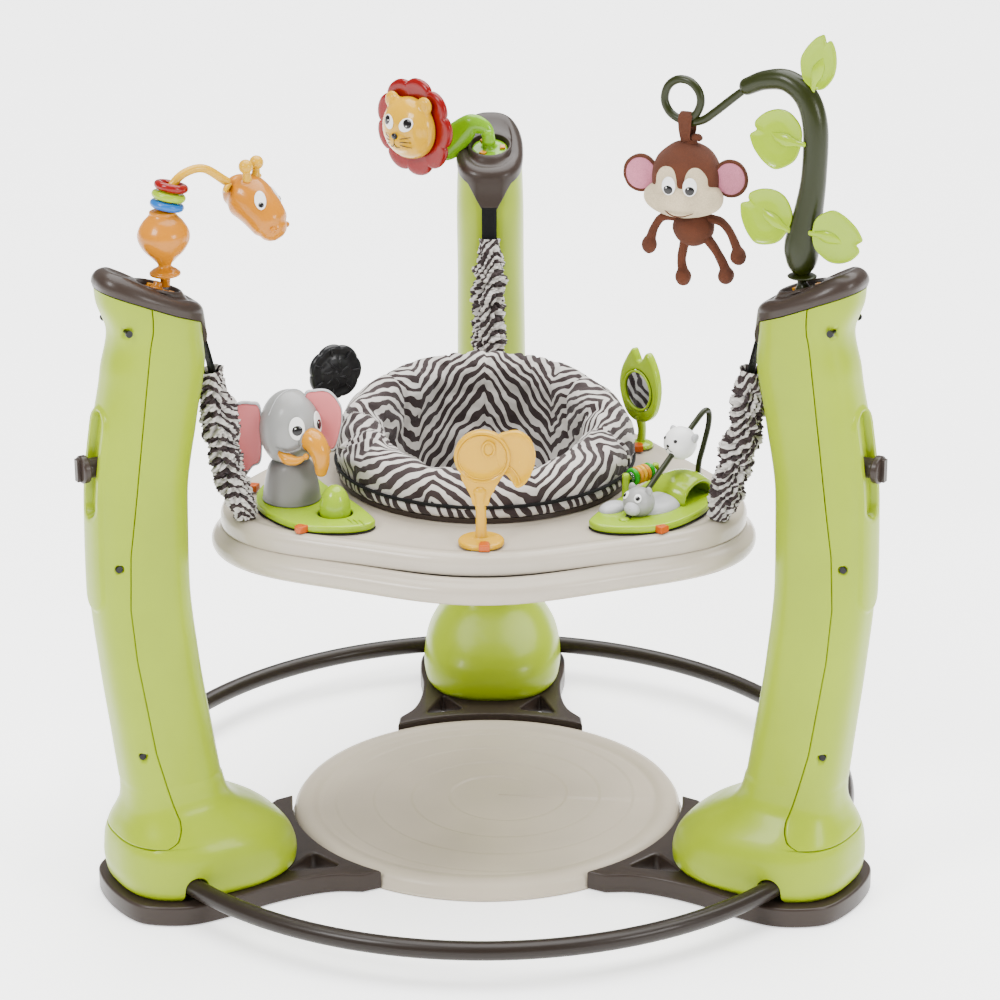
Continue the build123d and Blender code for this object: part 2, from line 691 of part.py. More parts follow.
def hippo_bead():
    head = Pos(*HIPPO) * Sphere(18.5)
    nose = Pos(HIPPO[0] - 11, HIPPO[1] - 13, HIPPO[2] - 2) * Sphere(10)
    bead = head + nose
    for dx, dy in ((2, 15), (16, 2)):
        bead += Pos(HIPPO[0] + dx, HIPPO[1] + dy, HIPPO[2] + 13) * Sphere(5)
    return bead - wire_bore(HIPPO)


def lamb_bead():
    head = Pos(*LAMB) * Sphere(20)
    ear = Pos(LAMB[0] + 15, LAMB[1] - 9, LAMB[2] + 12) * Sphere(6)
    return head + ear - wire_bore(LAMB)


def rattle_roller():
    along = Vector(*polar(1, 45), 0)
    start = Vector(*ROLLER) - along * ROLLER_HALF_LENGTH
    end = Vector(*ROLLER) + along * ROLLER_HALF_LENGTH
    drum = bar(start, end, ROLLER_RADIUS)
    axle = bar(start - along * 7, end + along * 7, 2.2)
    for part in (-8, 8):
        middle = Vector(*ROLLER) + along * part
        drum += bar(middle - along * 5, middle + along * 5, ROLLER_RADIUS + 1.5)
    return drum + axle


# ---- tower toys ----
def socket_plug():
    """Round toy foot that presses into a tower socket."""
    place = Pos(SOCKET_CENTRE[0], 0, SOCKET_CENTRE[1]) * Rot(0, -SOCKET_TILT, 0)
    return place * Pos(0, 0, 2.5 - SOCKET_DEPTH) * Cylinder(SOCKET_RADIUS - 0.5, 5)


def giraffe_body():
    x = 402.0
    outline = [(0, 732), (6, 732), (5, 752), (16, 755), (16, 758), (10, 768), (24, 778), (29, 790),
               (29, 800), (24, 812), (15, 822), (7, 827), (0, 828)]
    body = Pos(x, 0, 0) * solid_of_turn(outline)
    neck_points = [side_point(p) for p in GIRAFFE_NECK]
    neck = chain([(x, 0, 815)] + neck_points, [NECK_RADIUS + 1] + [NECK_RADIUS] * len(neck_points))
    return socket_plug() + body + neck


def giraffe_head():
    x, z = GIRAFFE_HEAD
    skull = ball((x, 0, z), (24, 21, 21))
    snout = chain([(x - 4, 0, z - 8), (x - 22, 0, z - 30), (x - 32, 0, z - 44)], [19, 15, 12])
    head = skull + snout
    for side in (-1, 1):
        horn = (x + 2, 7 * side, z + 32)
        head += bar((x, 7 * side, z + 14), horn, 3.2) + ball(horn, (6, 6, 6))
        head += ball((x + 6, 24 * side, z + 12), (5, 13, 6))
    socket = chain([side_point(p) for p in GIRAFFE_NECK[1:]], [NECK_RADIUS] * (len(GIRAFFE_NECK) - 1))
    return head - socket


def giraffe_ring(x, z, tilt):
    return Pos(x, 0, z) * Rot(0, -tilt, 0) * Torus(RING_TOY_RADIUS, RING_TOY_SECTION)


def lion_plane():
    """Plane of the lion's face: z_dir is the way it looks."""
    look = (*polar(1, 180 - LION_FACING), 0)
    return Plane(origin=LION_CENTRE, x_dir=(*polar(1, 90 - LION_FACING), 0), z_dir=look)


def lion_stem():
    x, y, z = LION_CENTRE
    back = lion_plane().z_dir * -1
    hub = Vector(x, y, z) + back * 16
    points = [(410, 0, 735), (412, 3, 756), (416, 22, 772), (421, 44, 774), (hub.X + 3, hub.Y - 4, 773)]
    stem = chain(points, [7, 8, 10, 9, 7])
    boss = bar(hub + back * 6, hub - back * 13, 7)
    axle = bar(hub, Vector(x, y, z) - back * 4, 4)
    return socket_plug() + stem + boss + axle


def lion_mane():
    wheel = Circle(LION_MANE_RADIUS - 12)
    for petal in range(9):
        wheel += Pos(*polar(LION_MANE_RADIUS - 15, petal * 40)) * Circle(15)
    solid = extrude(lion_plane() * wheel, 9)
    plane = lion_plane()
    bore = bar(plane.origin - plane.z_dir * 5, plane.origin + plane.z_dir * 20, 4.4)
    return solid - bore


def lion_face():
    plane = lion_plane()
    centre = plane.origin + plane.z_dir * 11
    head = plane * Pos(0, 0, 11) * scale(Sphere(1), by=(LION_FACE_RADIUS, LION_FACE_RADIUS, 20))
    front = bar(centre - plane.z_dir * 0.6, centre + plane.z_dir * 40, 80)
    face = head & front
    muzzle = plane * Pos(0, -12, 26) * scale(Sphere(1), by=(17, 13, 11))
    ears = Part()
    for side in (-1, 1):
        ears += plane * Pos(27 * side, 33, 17) * scale(Sphere(1), by=(12, 12, 5))
    return face + muzzle + ears


def vine_stem():
    points = [(x, 0, z) for (x, z), radius in VINE_SECTIONS]
    radii = [radius for spot, radius in VINE_SECTIONS]
    stalk = chain(points, radii)
    foot = bar((410, 0, 735), (410, 0, 760), 6)
    return socket_plug() + foot + stalk


def vine_leaf(root, lean, roll, width, height):
    blade = extrude(leaf_face(width, height), 3)
    return Pos(*root) * Rot(0, lean, 0) * Rot(0, 0, roll) * Rot(90, 0, 0) * blade


def vine_leaves():
    return [
        vine_leaf((420, -3, 966), 18, 8, 42, 64),
        vine_leaf((404, -17, 885), -35, -6, 44, 52),
        vine_leaf((388, -19, 792), -48, -6, 44, 50),
        vine_leaf((428, -17, 786), 62, 6, 44, 50),
    ]


def vine_hook():
    points = [side_point(p) for p in HOOK_ROD]
    rod = chain(points, [HOOK_SECTION] * len(points))
    centre = side_point(HOOK_LOOP_CENTRE)
    loop = Pos(*centre) * Rot(90, 0, 0) * Torus(HOOK_LOOP_RADIUS, HOOK_SECTION)
    return rod + loop


def plush_monkey():
    """Soft toy that hangs from the vine hook by a short strap."""
    x, pivot = MONKEY_PIVOT
    head = ball((x, 0, MONKEY_HEAD_Z), (MONKEY_HEAD_RADIUS, 40, 42))
    body = ball((x, 0, 790), (26, 22, 30))
    limbs = Part()
    for side in (-1, 1):
        limbs += chain([(x, 16 * side, 800), (x, 42 * side, 782), (x, 58 * side, 766)], [10, 9, 9])
        limbs += chain([(x, 10 * side, 775), (x, 24 * side, 752), (x, 30 * side, 736)], [11, 9, 10])
        limbs += ball((x, 48 * side, MONKEY_HEAD_Z + 8), (8, 13, 15))
    band = Pos(x, 0, pivot) * Rot(0, 90, 0) * (Cylinder(7.2, 10) - Cylinder(5.4, 10))
    strap_run = Pos(x, 0, (pivot - 5.6 + 880) / 2) * Box(10, 2, pivot - 5.6 - 880)
    return head + body + limbs + band + strap_run


# ---- build every node ----
def build_base():
    save(foot_pad(), "foot_pad")
    for index, name in enumerate(("front", "right", "left")):
        save(turned(base_tube(), 120 * index), f"base_tube_{name}")


def build_towers():
    plate = base_plate()
    inner = tower_inner_shell()
    outer = tower_outer_shell()
    cap = tower_cap()
    knob = height_knob()
    screws = []
    for name, angle in TOWER_DIRECTIONS.items():
        save(turned(plate, angle), f"base_plate_{name}")
        save(turned(inner, angle), f"tower_inner_shell_{name}")
        save(turned(outer, angle), f"tower_outer_shell_{name}")
        save(turned(cap, angle), f"tower_cap_{name}")
        save(turned(knob, angle), f"height_knob_{name}")
        for x, z in SCREW_SPOTS:
            for side in (-1, 1):
                screws.append(turned(tower_screw(x, z, side), angle))
    save(Compound(children=screws), "tower_screws")


def build_hanging_gear():
    springs = []
    anchors = []
    belt = strap()
    coil = spring()
    sleeve = spring_cover()
    anchor = strap_anchor()
    for name, angle in TOWER_DIRECTIONS.items():
        save(turned(belt, angle), f"strap_{name}")
        save(turned(sleeve, angle), f"spring_cover_{name}")
        springs.append(turned(coil, angle))
        anchors.append(turned(anchor, angle))
    save(Compound(children=springs), "springs")
    save(Compound(children=anchors), "strap_anchors")


def build_tray():
    save(tray_top(), "tray_top")
    save(tray_bottom(), "tray_bottom")
    save(Compound(children=tray_screws()), "tray_screws")
    save(seat_ring(), "seat_ring")
    save(seat_fabric(), "seat_fabric")


def build_tray_toys():
    save(toy_base(-1), "elephant_base")
    save(elephant_body(), "elephant_body")
    save(elephant_head(), "elephant_head")
    save(Compound(children=elephant_ears()), "elephant_ears")
    save(elephant_button(), "elephant_button")
    save(toucan_teether(), "toucan_teether")
    save(mirror_frame(), "mirror_frame")
    save(mirror_glass(), "mirror_glass")
    save(flower_stalk(), "flower_stalk")
    save(flower_spinner(), "flower_spinner")
    save(bead_base(), "bead_base")
    save(bead_wire(), "bead_wire")
    save(hippo_bead(), "hippo_bead")
    save(lamb_bead(), "lamb_bead")
    save(rattle_roller(), "rattle_roller")


def build_tower_toys():
    left = TOWER_DIRECTIONS["left"]
    right = TOWER_DIRECTIONS["right"]
    back = TOWER_DIRECTIONS["back"]
    save(turned(giraffe_body(), left), "giraffe_body")
    save(turned(giraffe_head(), left), "giraffe_head")
    for name, (x, z, tilt) in GIRAFFE_RINGS.items():
        save(turned(giraffe_ring(x, z, tilt), left), name)
    save(turned(lion_stem(), back), "lion_stem")
    save(turned(lion_mane(), back), "lion_mane")
    save(turned(lion_face(), back), "lion_face")
    save(turned(vine_stem(), right), "vine_stem")
    save(Compound(children=[turned(leaf, right) for leaf in vine_leaves()]), "vine_leaves")
    save(turned(vine_hook(), right), "vine_hook")
    save(turned(plush_monkey(), right), "plush_monkey")


build_base()
build_towers()
build_hanging_gear()
build_tray()
build_tray_toys()
build_tower_toys()
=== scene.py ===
import math

import bmesh
import bpy
import numpy as np
from mathutils import Matrix, Vector
from mathutils import noise as mnoise
from mathutils.bvhtree import BVHTree


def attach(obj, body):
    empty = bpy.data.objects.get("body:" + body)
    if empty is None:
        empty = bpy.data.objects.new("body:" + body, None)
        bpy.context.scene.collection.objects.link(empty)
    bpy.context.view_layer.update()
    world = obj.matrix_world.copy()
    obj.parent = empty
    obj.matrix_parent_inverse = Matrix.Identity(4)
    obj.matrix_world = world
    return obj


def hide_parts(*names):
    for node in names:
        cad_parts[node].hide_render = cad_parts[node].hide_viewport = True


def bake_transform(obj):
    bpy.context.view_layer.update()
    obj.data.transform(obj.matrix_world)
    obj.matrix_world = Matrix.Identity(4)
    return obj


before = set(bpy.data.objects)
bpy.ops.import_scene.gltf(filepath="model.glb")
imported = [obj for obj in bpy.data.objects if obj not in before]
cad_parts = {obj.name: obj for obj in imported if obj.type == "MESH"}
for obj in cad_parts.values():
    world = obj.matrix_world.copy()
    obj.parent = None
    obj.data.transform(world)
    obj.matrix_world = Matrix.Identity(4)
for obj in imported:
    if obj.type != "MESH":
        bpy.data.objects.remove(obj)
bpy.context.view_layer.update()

TOWERS = {"left": 210.0, "right": 330.0, "back": 90.0}
ROOT, HUNG, TRAY, SEAT = "frame_and_towers", "suspension", "tray", "seat"
pi, cos, sin = math.pi, math.cos, math.sin


# ---------- mesh helpers (all lengths in millimetres until the mesh is made) ----------
def spin(deg, axis):
    """Rotation about one of the axes, in degrees."""
    return Matrix.Rotation(math.radians(deg), 4, axis)


def turn(deg):
    """Turn about the upright axis through the middle of the seat."""
    return spin(deg, "Z")


def directions(count):
    """Evenly spaced directions once around, in radians."""
    return np.linspace(0, 2 * pi, count, endpoint=False)


def oval(count, wide, tall, x=0.0, y=0.0):
    """Outline of an ellipse with its two half sizes about (x, y)."""
    return [(x + wide * cos(t), y + tall * sin(t)) for t in directions(count)]


def hoop(count, wide, tall, z, x=0.0, y=0.0):
    """Points once around an ellipse at height z, ending where they start."""
    return [(x + wide * cos(t), y + tall * sin(t), z) for t in np.linspace(0, 2 * pi, count)]


def lobed(radius, height, lobes, power, count):
    """Outline of a wheel with rounded lobes."""
    outline = []
    for t in directions(count):
        r = radius + height * abs(cos(lobes / 2 * t)) ** power
        outline.append((r * cos(t), r * sin(t)))
    return outline


def level_ring(r, a, z):
    """Points at distance r from the upright axis in directions a, at height z."""
    return np.column_stack([r * np.cos(a), r * np.sin(a), np.broadcast_to(z, np.shape(a))])


def smooth_faces(mesh):
    """Shades every face smooth."""
    mesh.polygons.foreach_set("use_smooth", [True] * len(mesh.polygons))


def new_object(name, data):
    """Object in the scene around a mesh, curve or camera."""
    obj = bpy.data.objects.new(name, data)
    bpy.context.scene.collection.objects.link(obj)
    return obj


def scaled(place):
    """The same placement in metres."""
    move = place.copy()
    move.translation *= 0.001
    return move


def add(name, verts, faces, mat, place=None):
    """Smooth-shaded object from points in millimetres, moved to its place."""
    mesh = bpy.data.meshes.new(name)
    verts = np.asarray(verts, float) * 0.001
    mesh.from_pydata([tuple(v) for v in verts], [], faces)
    mesh.validate()
    mesh.update()
    obj = new_object(name, mesh)
    if place is not None:
        mesh.transform(scaled(place))
    if mat is not None:
        mesh.materials.append(mat)
    smooth_faces(mesh)
    return obj


def normals_out(obj):
    """Turns every face of a closed skin outward."""
    bm = bmesh.new()
    bm.from_mesh(obj.data)
    bmesh.ops.recalc_face_normals(bm, faces=bm.faces)
    bm.to_mesh(obj.data)
    bm.free()
    return obj


def grid(name, rows, mat, place=None, around=True, ends=(False, False)):
    """Skin over rows of points; around closes each row on itself, ends close the first and last row."""
    rows = np.asarray(rows, float)
    n, m = rows.shape[0], rows.shape[1]
    verts = rows.reshape(-1, 3)
    faces = []
    last = m if around else m - 1
    for i in range(n - 1):
        for j in range(last):
            k = (j + 1) % m
            faces.append((i * m + j, i * m + k, (i + 1) * m + k, (i + 1) * m + j))
    if ends[0]:
        faces.append(tuple(range(m - 1, -1, -1)))
    if ends[1]:
        faces.append(tuple((n - 1) * m + j for j in range(m)))
    return normals_out(add(name, verts, faces, mat, place))


def spline(points, count):
    """Centripetal-ish Catmull-Rom through the points, count samples evenly spaced along it."""
    p = np.asarray(points, float)
    p = np.vstack([2 * p[0] - p[1], p, 2 * p[-1] - p[-2]])
    out = []
    for i in range(1, len(p) - 2):
        t = np.linspace(0, 1, 24, endpoint=False)[:, None]
        a, b, c, d = p[i - 1], p[i], p[i + 1], p[i + 2]
        out.append(0.5 * (2 * b + (c - a) * t + (2 * a - 5 * b + 4 * c - d) * t ** 2
            + (3 * b - a - 3 * c + d) * t ** 3))
    out.append(p[-2][None])
    dense = np.vstack(out)
    run = np.concatenate([[0], np.cumsum(np.linalg.norm(np.diff(dense, axis=0), axis=1))])
    want = np.linspace(0, run[-1], count)
    return np.stack([np.interp(want, run, dense[:, k]) for k in range(dense.shape[1])], axis=1)


def smooth_table(x, xs, ys):
    """Smooth curve y(x) through a table, monotone between its points."""
    xs, ys = np.asarray(xs, float), np.asarray(ys, float)
    x = np.clip(x, xs[0], xs[-1])
    h = np.diff(xs)
    s = np.diff(ys) / h
    m = np.zeros_like(ys)
    m[1:-1] = np.where(s[:-1] * s[1:] > 0, 2 * s[:-1] * s[1:] / (s[:-1] + s[1:] + 1e-12), 0)
    m[0], m[-1] = s[0], s[-1]
    i = np.clip(np.searchsorted(xs, x) - 1, 0, len(xs) - 2)
    t = (x - xs[i]) / h[i]
    return (ys[i] * (1 + 2 * t) * (1 - t) ** 2 + m[i] * h[i] * t * (1 - t) ** 2
            + ys[i + 1] * t * t * (3 - 2 * t) + m[i + 1] * h[i] * t * t * (t - 1))


def step(x, low, high):
    """Smooth rise from 0 at low to 1 at high."""
    t = np.clip((np.asarray(x, float) - low) / (high - low), 0, 1)
    return t * t * (3 - 2 * t)


def tube(name, points, radii, mat, place=None, sides=20, count=40, flat=1.0, up=(0, 0, 1), rounded=True):
    """Round or flattened rod along a smooth line, with domed ends."""
    both = np.column_stack([np.asarray(points, float), np.full(len(points), 1.0) * np.asarray(radii, float)])
    line = spline(both, count)
    path, radius = line[:, :3], line[:, 3]
    along = np.gradient(path, axis=0)
    along /= np.linalg.norm(along, axis=1)[:, None]
    side = np.cross(along[0], up)
    if np.linalg.norm(side) < 1e-3:
        side = np.cross(along[0], (0, 1, 0))
    rows = []
    a = directions(sides)
    frames = []
    for i in range(count):
        side = side - along[i] * np.dot(side, along[i])
        side /= np.linalg.norm(side)
        over = np.cross(side, along[i])
        frames.append((side.copy(), over))
        rows.append(path[i] + radius[i] * (np.cos(a)[:, None] * side + flat * np.sin(a)[:, None] * over))
    if rounded:
        for end, sign in ((0, -1), (count - 1, 1)):
            s, o = frames[end]
            extra = []
            for q in (0.4, 0.75, 0.95):
                r = radius[end] * math.sqrt(1 - q * q)
                extra.append(path[end] + sign * along[end] * radius[end] * q * 0.8
                             + r * (np.cos(a)[:, None] * s + flat * np.sin(a)[:, None] * o))
            rows = extra[::-1] + rows if sign < 0 else rows + extra
    return grid(name, rows, mat, place, ends=(True, True))


def lathe(name, profile, mat, place=None, seg=72, count=None):
    """Solid of revolution about Z from (radius, z) points, bottom to top; smoothed when count is given."""
    prof = spline(profile, count) if count else np.asarray(profile, float)
    a = directions(seg)
    rows = [level_ring(max(r, 0.01), a, z) for r, z in prof]
    return grid(name, rows, mat, place, ends=(True, True))


def ball(name, centre, radii, mat, place=None, seg=40, tilt=None):
    """Ellipsoid with its three radii, turned by tilt."""
    a = directions(seg)
    rows = []
    for t in np.linspace(-pi / 2 + 0.02, pi / 2 - 0.02, seg // 2):
        rows.append(np.column_stack([cos(t) * np.cos(a), cos(t) * np.sin(a), np.full(seg, sin(t))]))
    rows = np.array(rows)
    rows = rows * np.array(radii)
    if tilt is not None:
        rows = rows @ np.array(tilt.to_3x3()).T
    return grid(name, rows + np.array(centre), mat, place, ends=(True, True))


def aim(origin, normal, right=None):
    """Placement whose +Z is the normal and +X is to the right of someone looking at the face."""
    n = Vector(normal).normalized()
    x = Vector(right) if right is not None else Vector((0, 0, 1)).cross(n)
    x = (x - n * x.dot(n)).normalized()
    y = n.cross(x)
    m = Matrix((x, y, n)).transposed().to_4x4()
    m.translation = Vector(origin)
    return m


def slab(name, outlines, thick, bevel, mat, place=None, low=0.0):
    """Flat plate with rounded edges from closed outlines in its own XY plane; later outlines are holes."""
    data = bpy.data.curves.new(name, "CURVE")
    data.dimensions = "2D"
    data.fill_mode = "BOTH"
    data.extrude = (thick / 2 - bevel) * 0.001
    data.bevel_depth = bevel * 0.001
    data.bevel_resolution = 4
    data.offset = -bevel * 0.001
    for outline in outlines:
        line = data.splines.new("POLY")
        line.points.add(len(outline) - 1)
        for p, (x, y) in zip(line.points, outline):
            p.co = (x * 0.001, y * 0.001, 0, 1)
        line.use_cyclic_u = True
    temp = new_object(name + "_line", data)
    bpy.context.view_layer.update()
    mesh = bpy.data.meshes.new_from_object(temp.evaluated_get(bpy.context.evaluated_depsgraph_get()))
    bpy.data.objects.remove(temp)
    mesh.transform(Matrix.Translation((0, 0, (low + thick / 2) * 0.001)))
    if place is not None:
        mesh.transform(scaled(place))
    obj = new_object(name, mesh)
    mesh.materials.clear()
    mesh.materials.append(mat)
    bm = bmesh.new()
    bm.from_mesh(mesh)
    bmesh.ops.remove_doubles(bm, verts=bm.verts, dist=2e-6)
    bmesh.ops.recalc_face_normals(bm, faces=bm.faces)
    bm.to_mesh(mesh)
    bm.free()
    smooth_faces(mesh)
    mesh.set_sharp_from_angle(angle=math.radians(35))
    return obj


def closed(points, count=96):
    """Smooth closed outline through points in a plane."""
    p = np.asarray(points, float)
    wrapped = np.vstack([p[-2:], p, p[:3]])
    dense = spline(wrapped, 40 * len(wrapped))
    d = np.linalg.norm(dense - p[0], axis=1)
    half = len(dense) // 2
    i0, i1 = int(np.argmin(d[:half])), half + int(np.argmin(d[half:]))
    return spline(dense[i0:i1 + 1:4], count + 1)[:-1]


def evaluated(obj):
    """The object with its modifiers applied."""
    bpy.context.view_layer.update()
    mesh = bpy.data.meshes.new_from_object(obj.evaluated_get(bpy.context.evaluated_depsgraph_get()))
    mats = list(obj.data.materials)
    obj.modifiers.clear()
    obj.data = mesh
    if not mesh.materials:
        for m in mats:
            mesh.materials.append(m)
    return obj


def modified(obj, kind, **settings):
    """Applies one modifier with the given settings."""
    mod = obj.modifiers.new(kind.lower(), kind)
    for key, value in settings.items():
        setattr(mod, key, value)
    return evaluated(obj)


def cut_away(obj, cutter):
    """Takes the cutter's shape out of a piece, and removes the cutter."""
    modified(obj, "BOOLEAN", operation="DIFFERENCE", solver="EXACT", object=cutter)
    bpy.data.objects.remove(cutter)


def join(name, parts):
    """One object from several, keeping each one's materials."""
    bpy.ops.object.select_all(action="DESELECT")
    for p in parts:
        p.select_set(True)
    bpy.context.view_layer.objects.active = parts[0]
    bpy.ops.object.join()
    parts[0].name = name
    parts[0].data.name = name
    return parts[0]


def fuse(name, parts, voxel, rounds=6, mat=None):
    """Parts grown into one skin, with soft fillets where they meet."""
    obj = join(name, parts)
    modified(obj, "REMESH", mode="VOXEL", voxel_size=voxel * 0.001)
    modified(obj, "SMOOTH", iterations=rounds, factor=0.5)
    obj.data.materials.clear()
    obj.data.materials.append(mat)
    smooth_faces(obj.data)
    return obj


def copy_of(obj, name, place):
    """Copy of an object moved to another place."""
    mesh = obj.data.copy()
    new = new_object(name, mesh)
    mesh.transform(scaled(place))
    return new


def coords(obj):
    """Points of an object, in millimetres."""
    v = np.empty(len(obj.data.vertices) * 3)
    obj.data.vertices.foreach_get("co", v)
    return v.reshape(-1, 3) * 1000


def point_normals(obj):
    """Outward direction at each point of an object."""
    n = np.empty(len(obj.data.vertices) * 3)
    obj.data.vertices.foreach_get("normal", n)
    return n.reshape(-1, 3)


def set_coords(obj, v):
    """Moves an object's points, given in millimetres."""
    obj.data.vertices.foreach_set("co", (np.asarray(v) * 0.001).ravel())
    obj.data.update()


def cloth_map(obj, uv):
    """Cloth coordinates in metres on each point, which the fabric materials read."""
    at = obj.data.attributes.new("cloth", "FLOAT_VECTOR", "POINT")
    flat = np.zeros((len(uv), 3))
    flat[:, :uv.shape[1]] = uv
    at.data.foreach_set("vector", flat.ravel())


# ---------- materials ----------
class Nodes:
    """A material and short names for the shader nodes that the fabrics and plastics share."""

    def __init__(self, name):
        self.mat = bpy.data.materials.new(name)
        self.mat.use_nodes = True
        self.tree = self.mat.node_tree
        self.out = self.tree.nodes["Material Output"]
        self.shader = self.tree.nodes["Principled BSDF"]

    def node(self, kind, **values):
        n = self.tree.nodes.new("ShaderNode" + kind)
        for key, value in values.items():
            if key in n.inputs:
                n.inputs[key].default_value = value
            else:
                setattr(n, key, value)
        return n

    def link(self, a, b):
        self.tree.links.new(a, b)

    def math(self, op, a, b=None, c=None, clamp=False):
        n = self.tree.nodes.new("ShaderNodeMath")
        n.operation = op
        n.use_clamp = clamp
        for i, value in enumerate((a, b, c)):
            if value is None:
                continue
            if isinstance(value, (int, float)):
                n.inputs[i].default_value = value
            else:
                self.link(value, n.inputs[i])
        return n.outputs[0]

    def ramp(self, fac, stops):
        n = self.tree.nodes.new("ShaderNodeValToRGB")
        while len(n.color_ramp.elements) < len(stops):
            n.color_ramp.elements.new(0.5)
        for e, (pos, colour) in zip(n.color_ramp.elements, stops):
            e.position = pos
            e.color = (*colour, 1)
        self.link(fac, n.inputs[0])
        return n.outputs[0]

    def noise(self, vector, scale, detail=3.0, rough=0.5):
        n = self.node("TexNoise")
        n.inputs["Scale"].default_value = scale
        n.inputs["Detail"].default_value = detail
        n.inputs["Roughness"].default_value = rough
        self.link(vector, n.inputs["Vector"])
        return n

    def bump(self, height, strength, distance):
        n = self.node("Bump")
        n.inputs["Strength"].default_value = strength
        n.inputs["Distance"].default_value = distance
        self.link(height, n.inputs["Height"])
        self.link(n.outputs[0], self.shader.inputs["Normal"])
        return n

    def place(self):
        return self.node("TexCoord").outputs["Object"]

    def set(self, **values):
        for key, value in values.items():
            self.shader.inputs[key.replace("_", " ")].default_value = value


def tint(colour, k):
    """A lighter or darker shade of a colour."""
    return tuple(min(1.0, c * k) for c in colour)


PAINT_DEPTH, PAINT_RICHNESS = 0.5, 1.65
COLOUR_DRIFT = 0.06


def paint(colour):
    """Deepens a base colour for the bright studio light."""
    grey = 0.3 * colour[0] + 0.6 * colour[1] + 0.1 * colour[2]
    return tuple(max(0.0006, grey + (c - grey) * PAINT_RICHNESS) * PAINT_DEPTH for c in colour)


def plastic(name, colour, rough=0.3, grain=0.25, coat=0.0, scatter=0.0, metal=0.0, through=0.0):
    """Moulded plastic or paint: slight colour drift, worn sheen and a fine moulded grain."""
    colour = paint(colour)
    m = Nodes(name)
    at = m.place()
    drift = m.noise(at, 9.0, 4.0).outputs["Fac"]
    m.link(m.ramp(drift, [(0.3, tint(colour, 1 - COLOUR_DRIFT)), (0.7, tint(colour, 1 + COLOUR_DRIFT))]),
        m.shader.inputs["Base Color"])
    smear = m.noise(at, 60.0, 5.0, 0.65).outputs["Fac"]
    m.link(m.math("MULTIPLY_ADD", smear, 0.22 * (rough + 0.15), rough - 0.11 * (rough + 0.15)),
        m.shader.inputs["Roughness"])
    fine = m.noise(at, 1900.0, 2.0).outputs["Fac"]
    m.bump(fine, grain, 0.00012)
    m.set(Metallic=metal, IOR=1.48, Specular_IOR_Level=0.22, Coat_Weight=coat * 0.5, Coat_Roughness=0.08)
    if scatter:
        m.set(Subsurface_Weight=scatter, Subsurface_Radius=(0.004, 0.003, 0.002))
    if through:
        m.set(Transmission_Weight=through)
    return m.mat


def zebra(name, light, dark, pitch=0.0148, slope=0.8, panel=0.105):
    """Printed cloth: zebra stripes mirrored at the panel seams, over a plain weave."""
    m = Nodes(name)
    cloth = m.node("Attribute", attribute_name="cloth").outputs["Vector"]
    split = m.node("SeparateXYZ")
    m.link(cloth, split.inputs[0])
    u, v = split.outputs[0], split.outputs[1]
    warp = m.noise(cloth, 17.0, 1.5, 0.5)
    warp2 = m.noise(cloth, 60.0, 1.0, 0.5)
    fold = m.math("PINGPONG", u, panel)
    bent = m.math("MULTIPLY_ADD", fold, slope, v)
    wave1 = m.math("MULTIPLY_ADD", m.math("SUBTRACT", warp.outputs["Fac"], 0.5), 0.046, bent)
    wave2 = m.math("MULTIPLY_ADD", m.math("SUBTRACT", warp2.outputs["Fac"], 0.5), 0.009, wave1)
    phase = m.math("MULTIPLY", wave2, 2 * pi / pitch)
    stripe = m.math("SINE", phase)
    taper = m.noise(cloth, 38.0, 2.0, 0.5).outputs["Fac"]
    level = m.math("MULTIPLY_ADD", m.math("SUBTRACT", taper, 0.5), 2.6, -0.05)
    cut = m.math("SUBTRACT", stripe, level)
    mask = m.math("MULTIPLY_ADD", cut, 5.0, 0.5, clamp=True)
    colour = m.ramp(mask, [(0.25, light), (0.75, dark)])
    wash = m.noise(cloth, 24.0, 3.0).outputs["Fac"]
    mix = m.node("Mix", data_type="RGBA", blend_type="MULTIPLY")
    m.link(m.ramp(wash, [(0.3, (0.9, 0.9, 0.9)), (0.7, (1, 1, 1))]), mix.inputs[7])
    m.link(colour, mix.inputs[6])
    mix.inputs[0].default_value = 1.0
    m.link(mix.outputs[2], m.shader.inputs["Base Color"])
    weave_bump(m, u, v, 1500.0, 0.5)
    m.set(Roughness=0.82, Sheen_Weight=0.1, Specular_IOR_Level=0.15, Sheen_Roughness=0.5)
    return m.mat


def weave_bump(m, u, v, per_metre, strength):
    """Over-and-under threads of a plain weave."""
    a = m.math("SINE", m.math("MULTIPLY", u, per_metre * pi))
    b = m.math("SINE", m.math("MULTIPLY", v, per_metre * pi))
    over = m.math("MULTIPLY", a, b)
    m.bump(over, strength, 0.0002)


def webbing(name, colour):
    """Woven strap: ribs across it and a slightly furry sheen."""
    m = Nodes(name)
    cloth = m.node("Attribute", attribute_name="cloth").outputs["Vector"]
    split = m.node("SeparateXYZ")
    m.link(cloth, split.inputs[0])
    weave_bump(m, split.outputs[0], split.outputs[1], 900.0, 0.8)
    fleck = m.noise(cloth, 700.0, 2.0).outputs["Fac"]
    m.link(m.ramp(fleck, [(0.3, tint(colour, 0.7)), (0.7, tint(colour, 1.5))]), m.shader.inputs["Base Color"])
    m.set(Roughness=0.8, Sheen_Weight=0.05, Specular_IOR_Level=0.1)
    return m.mat


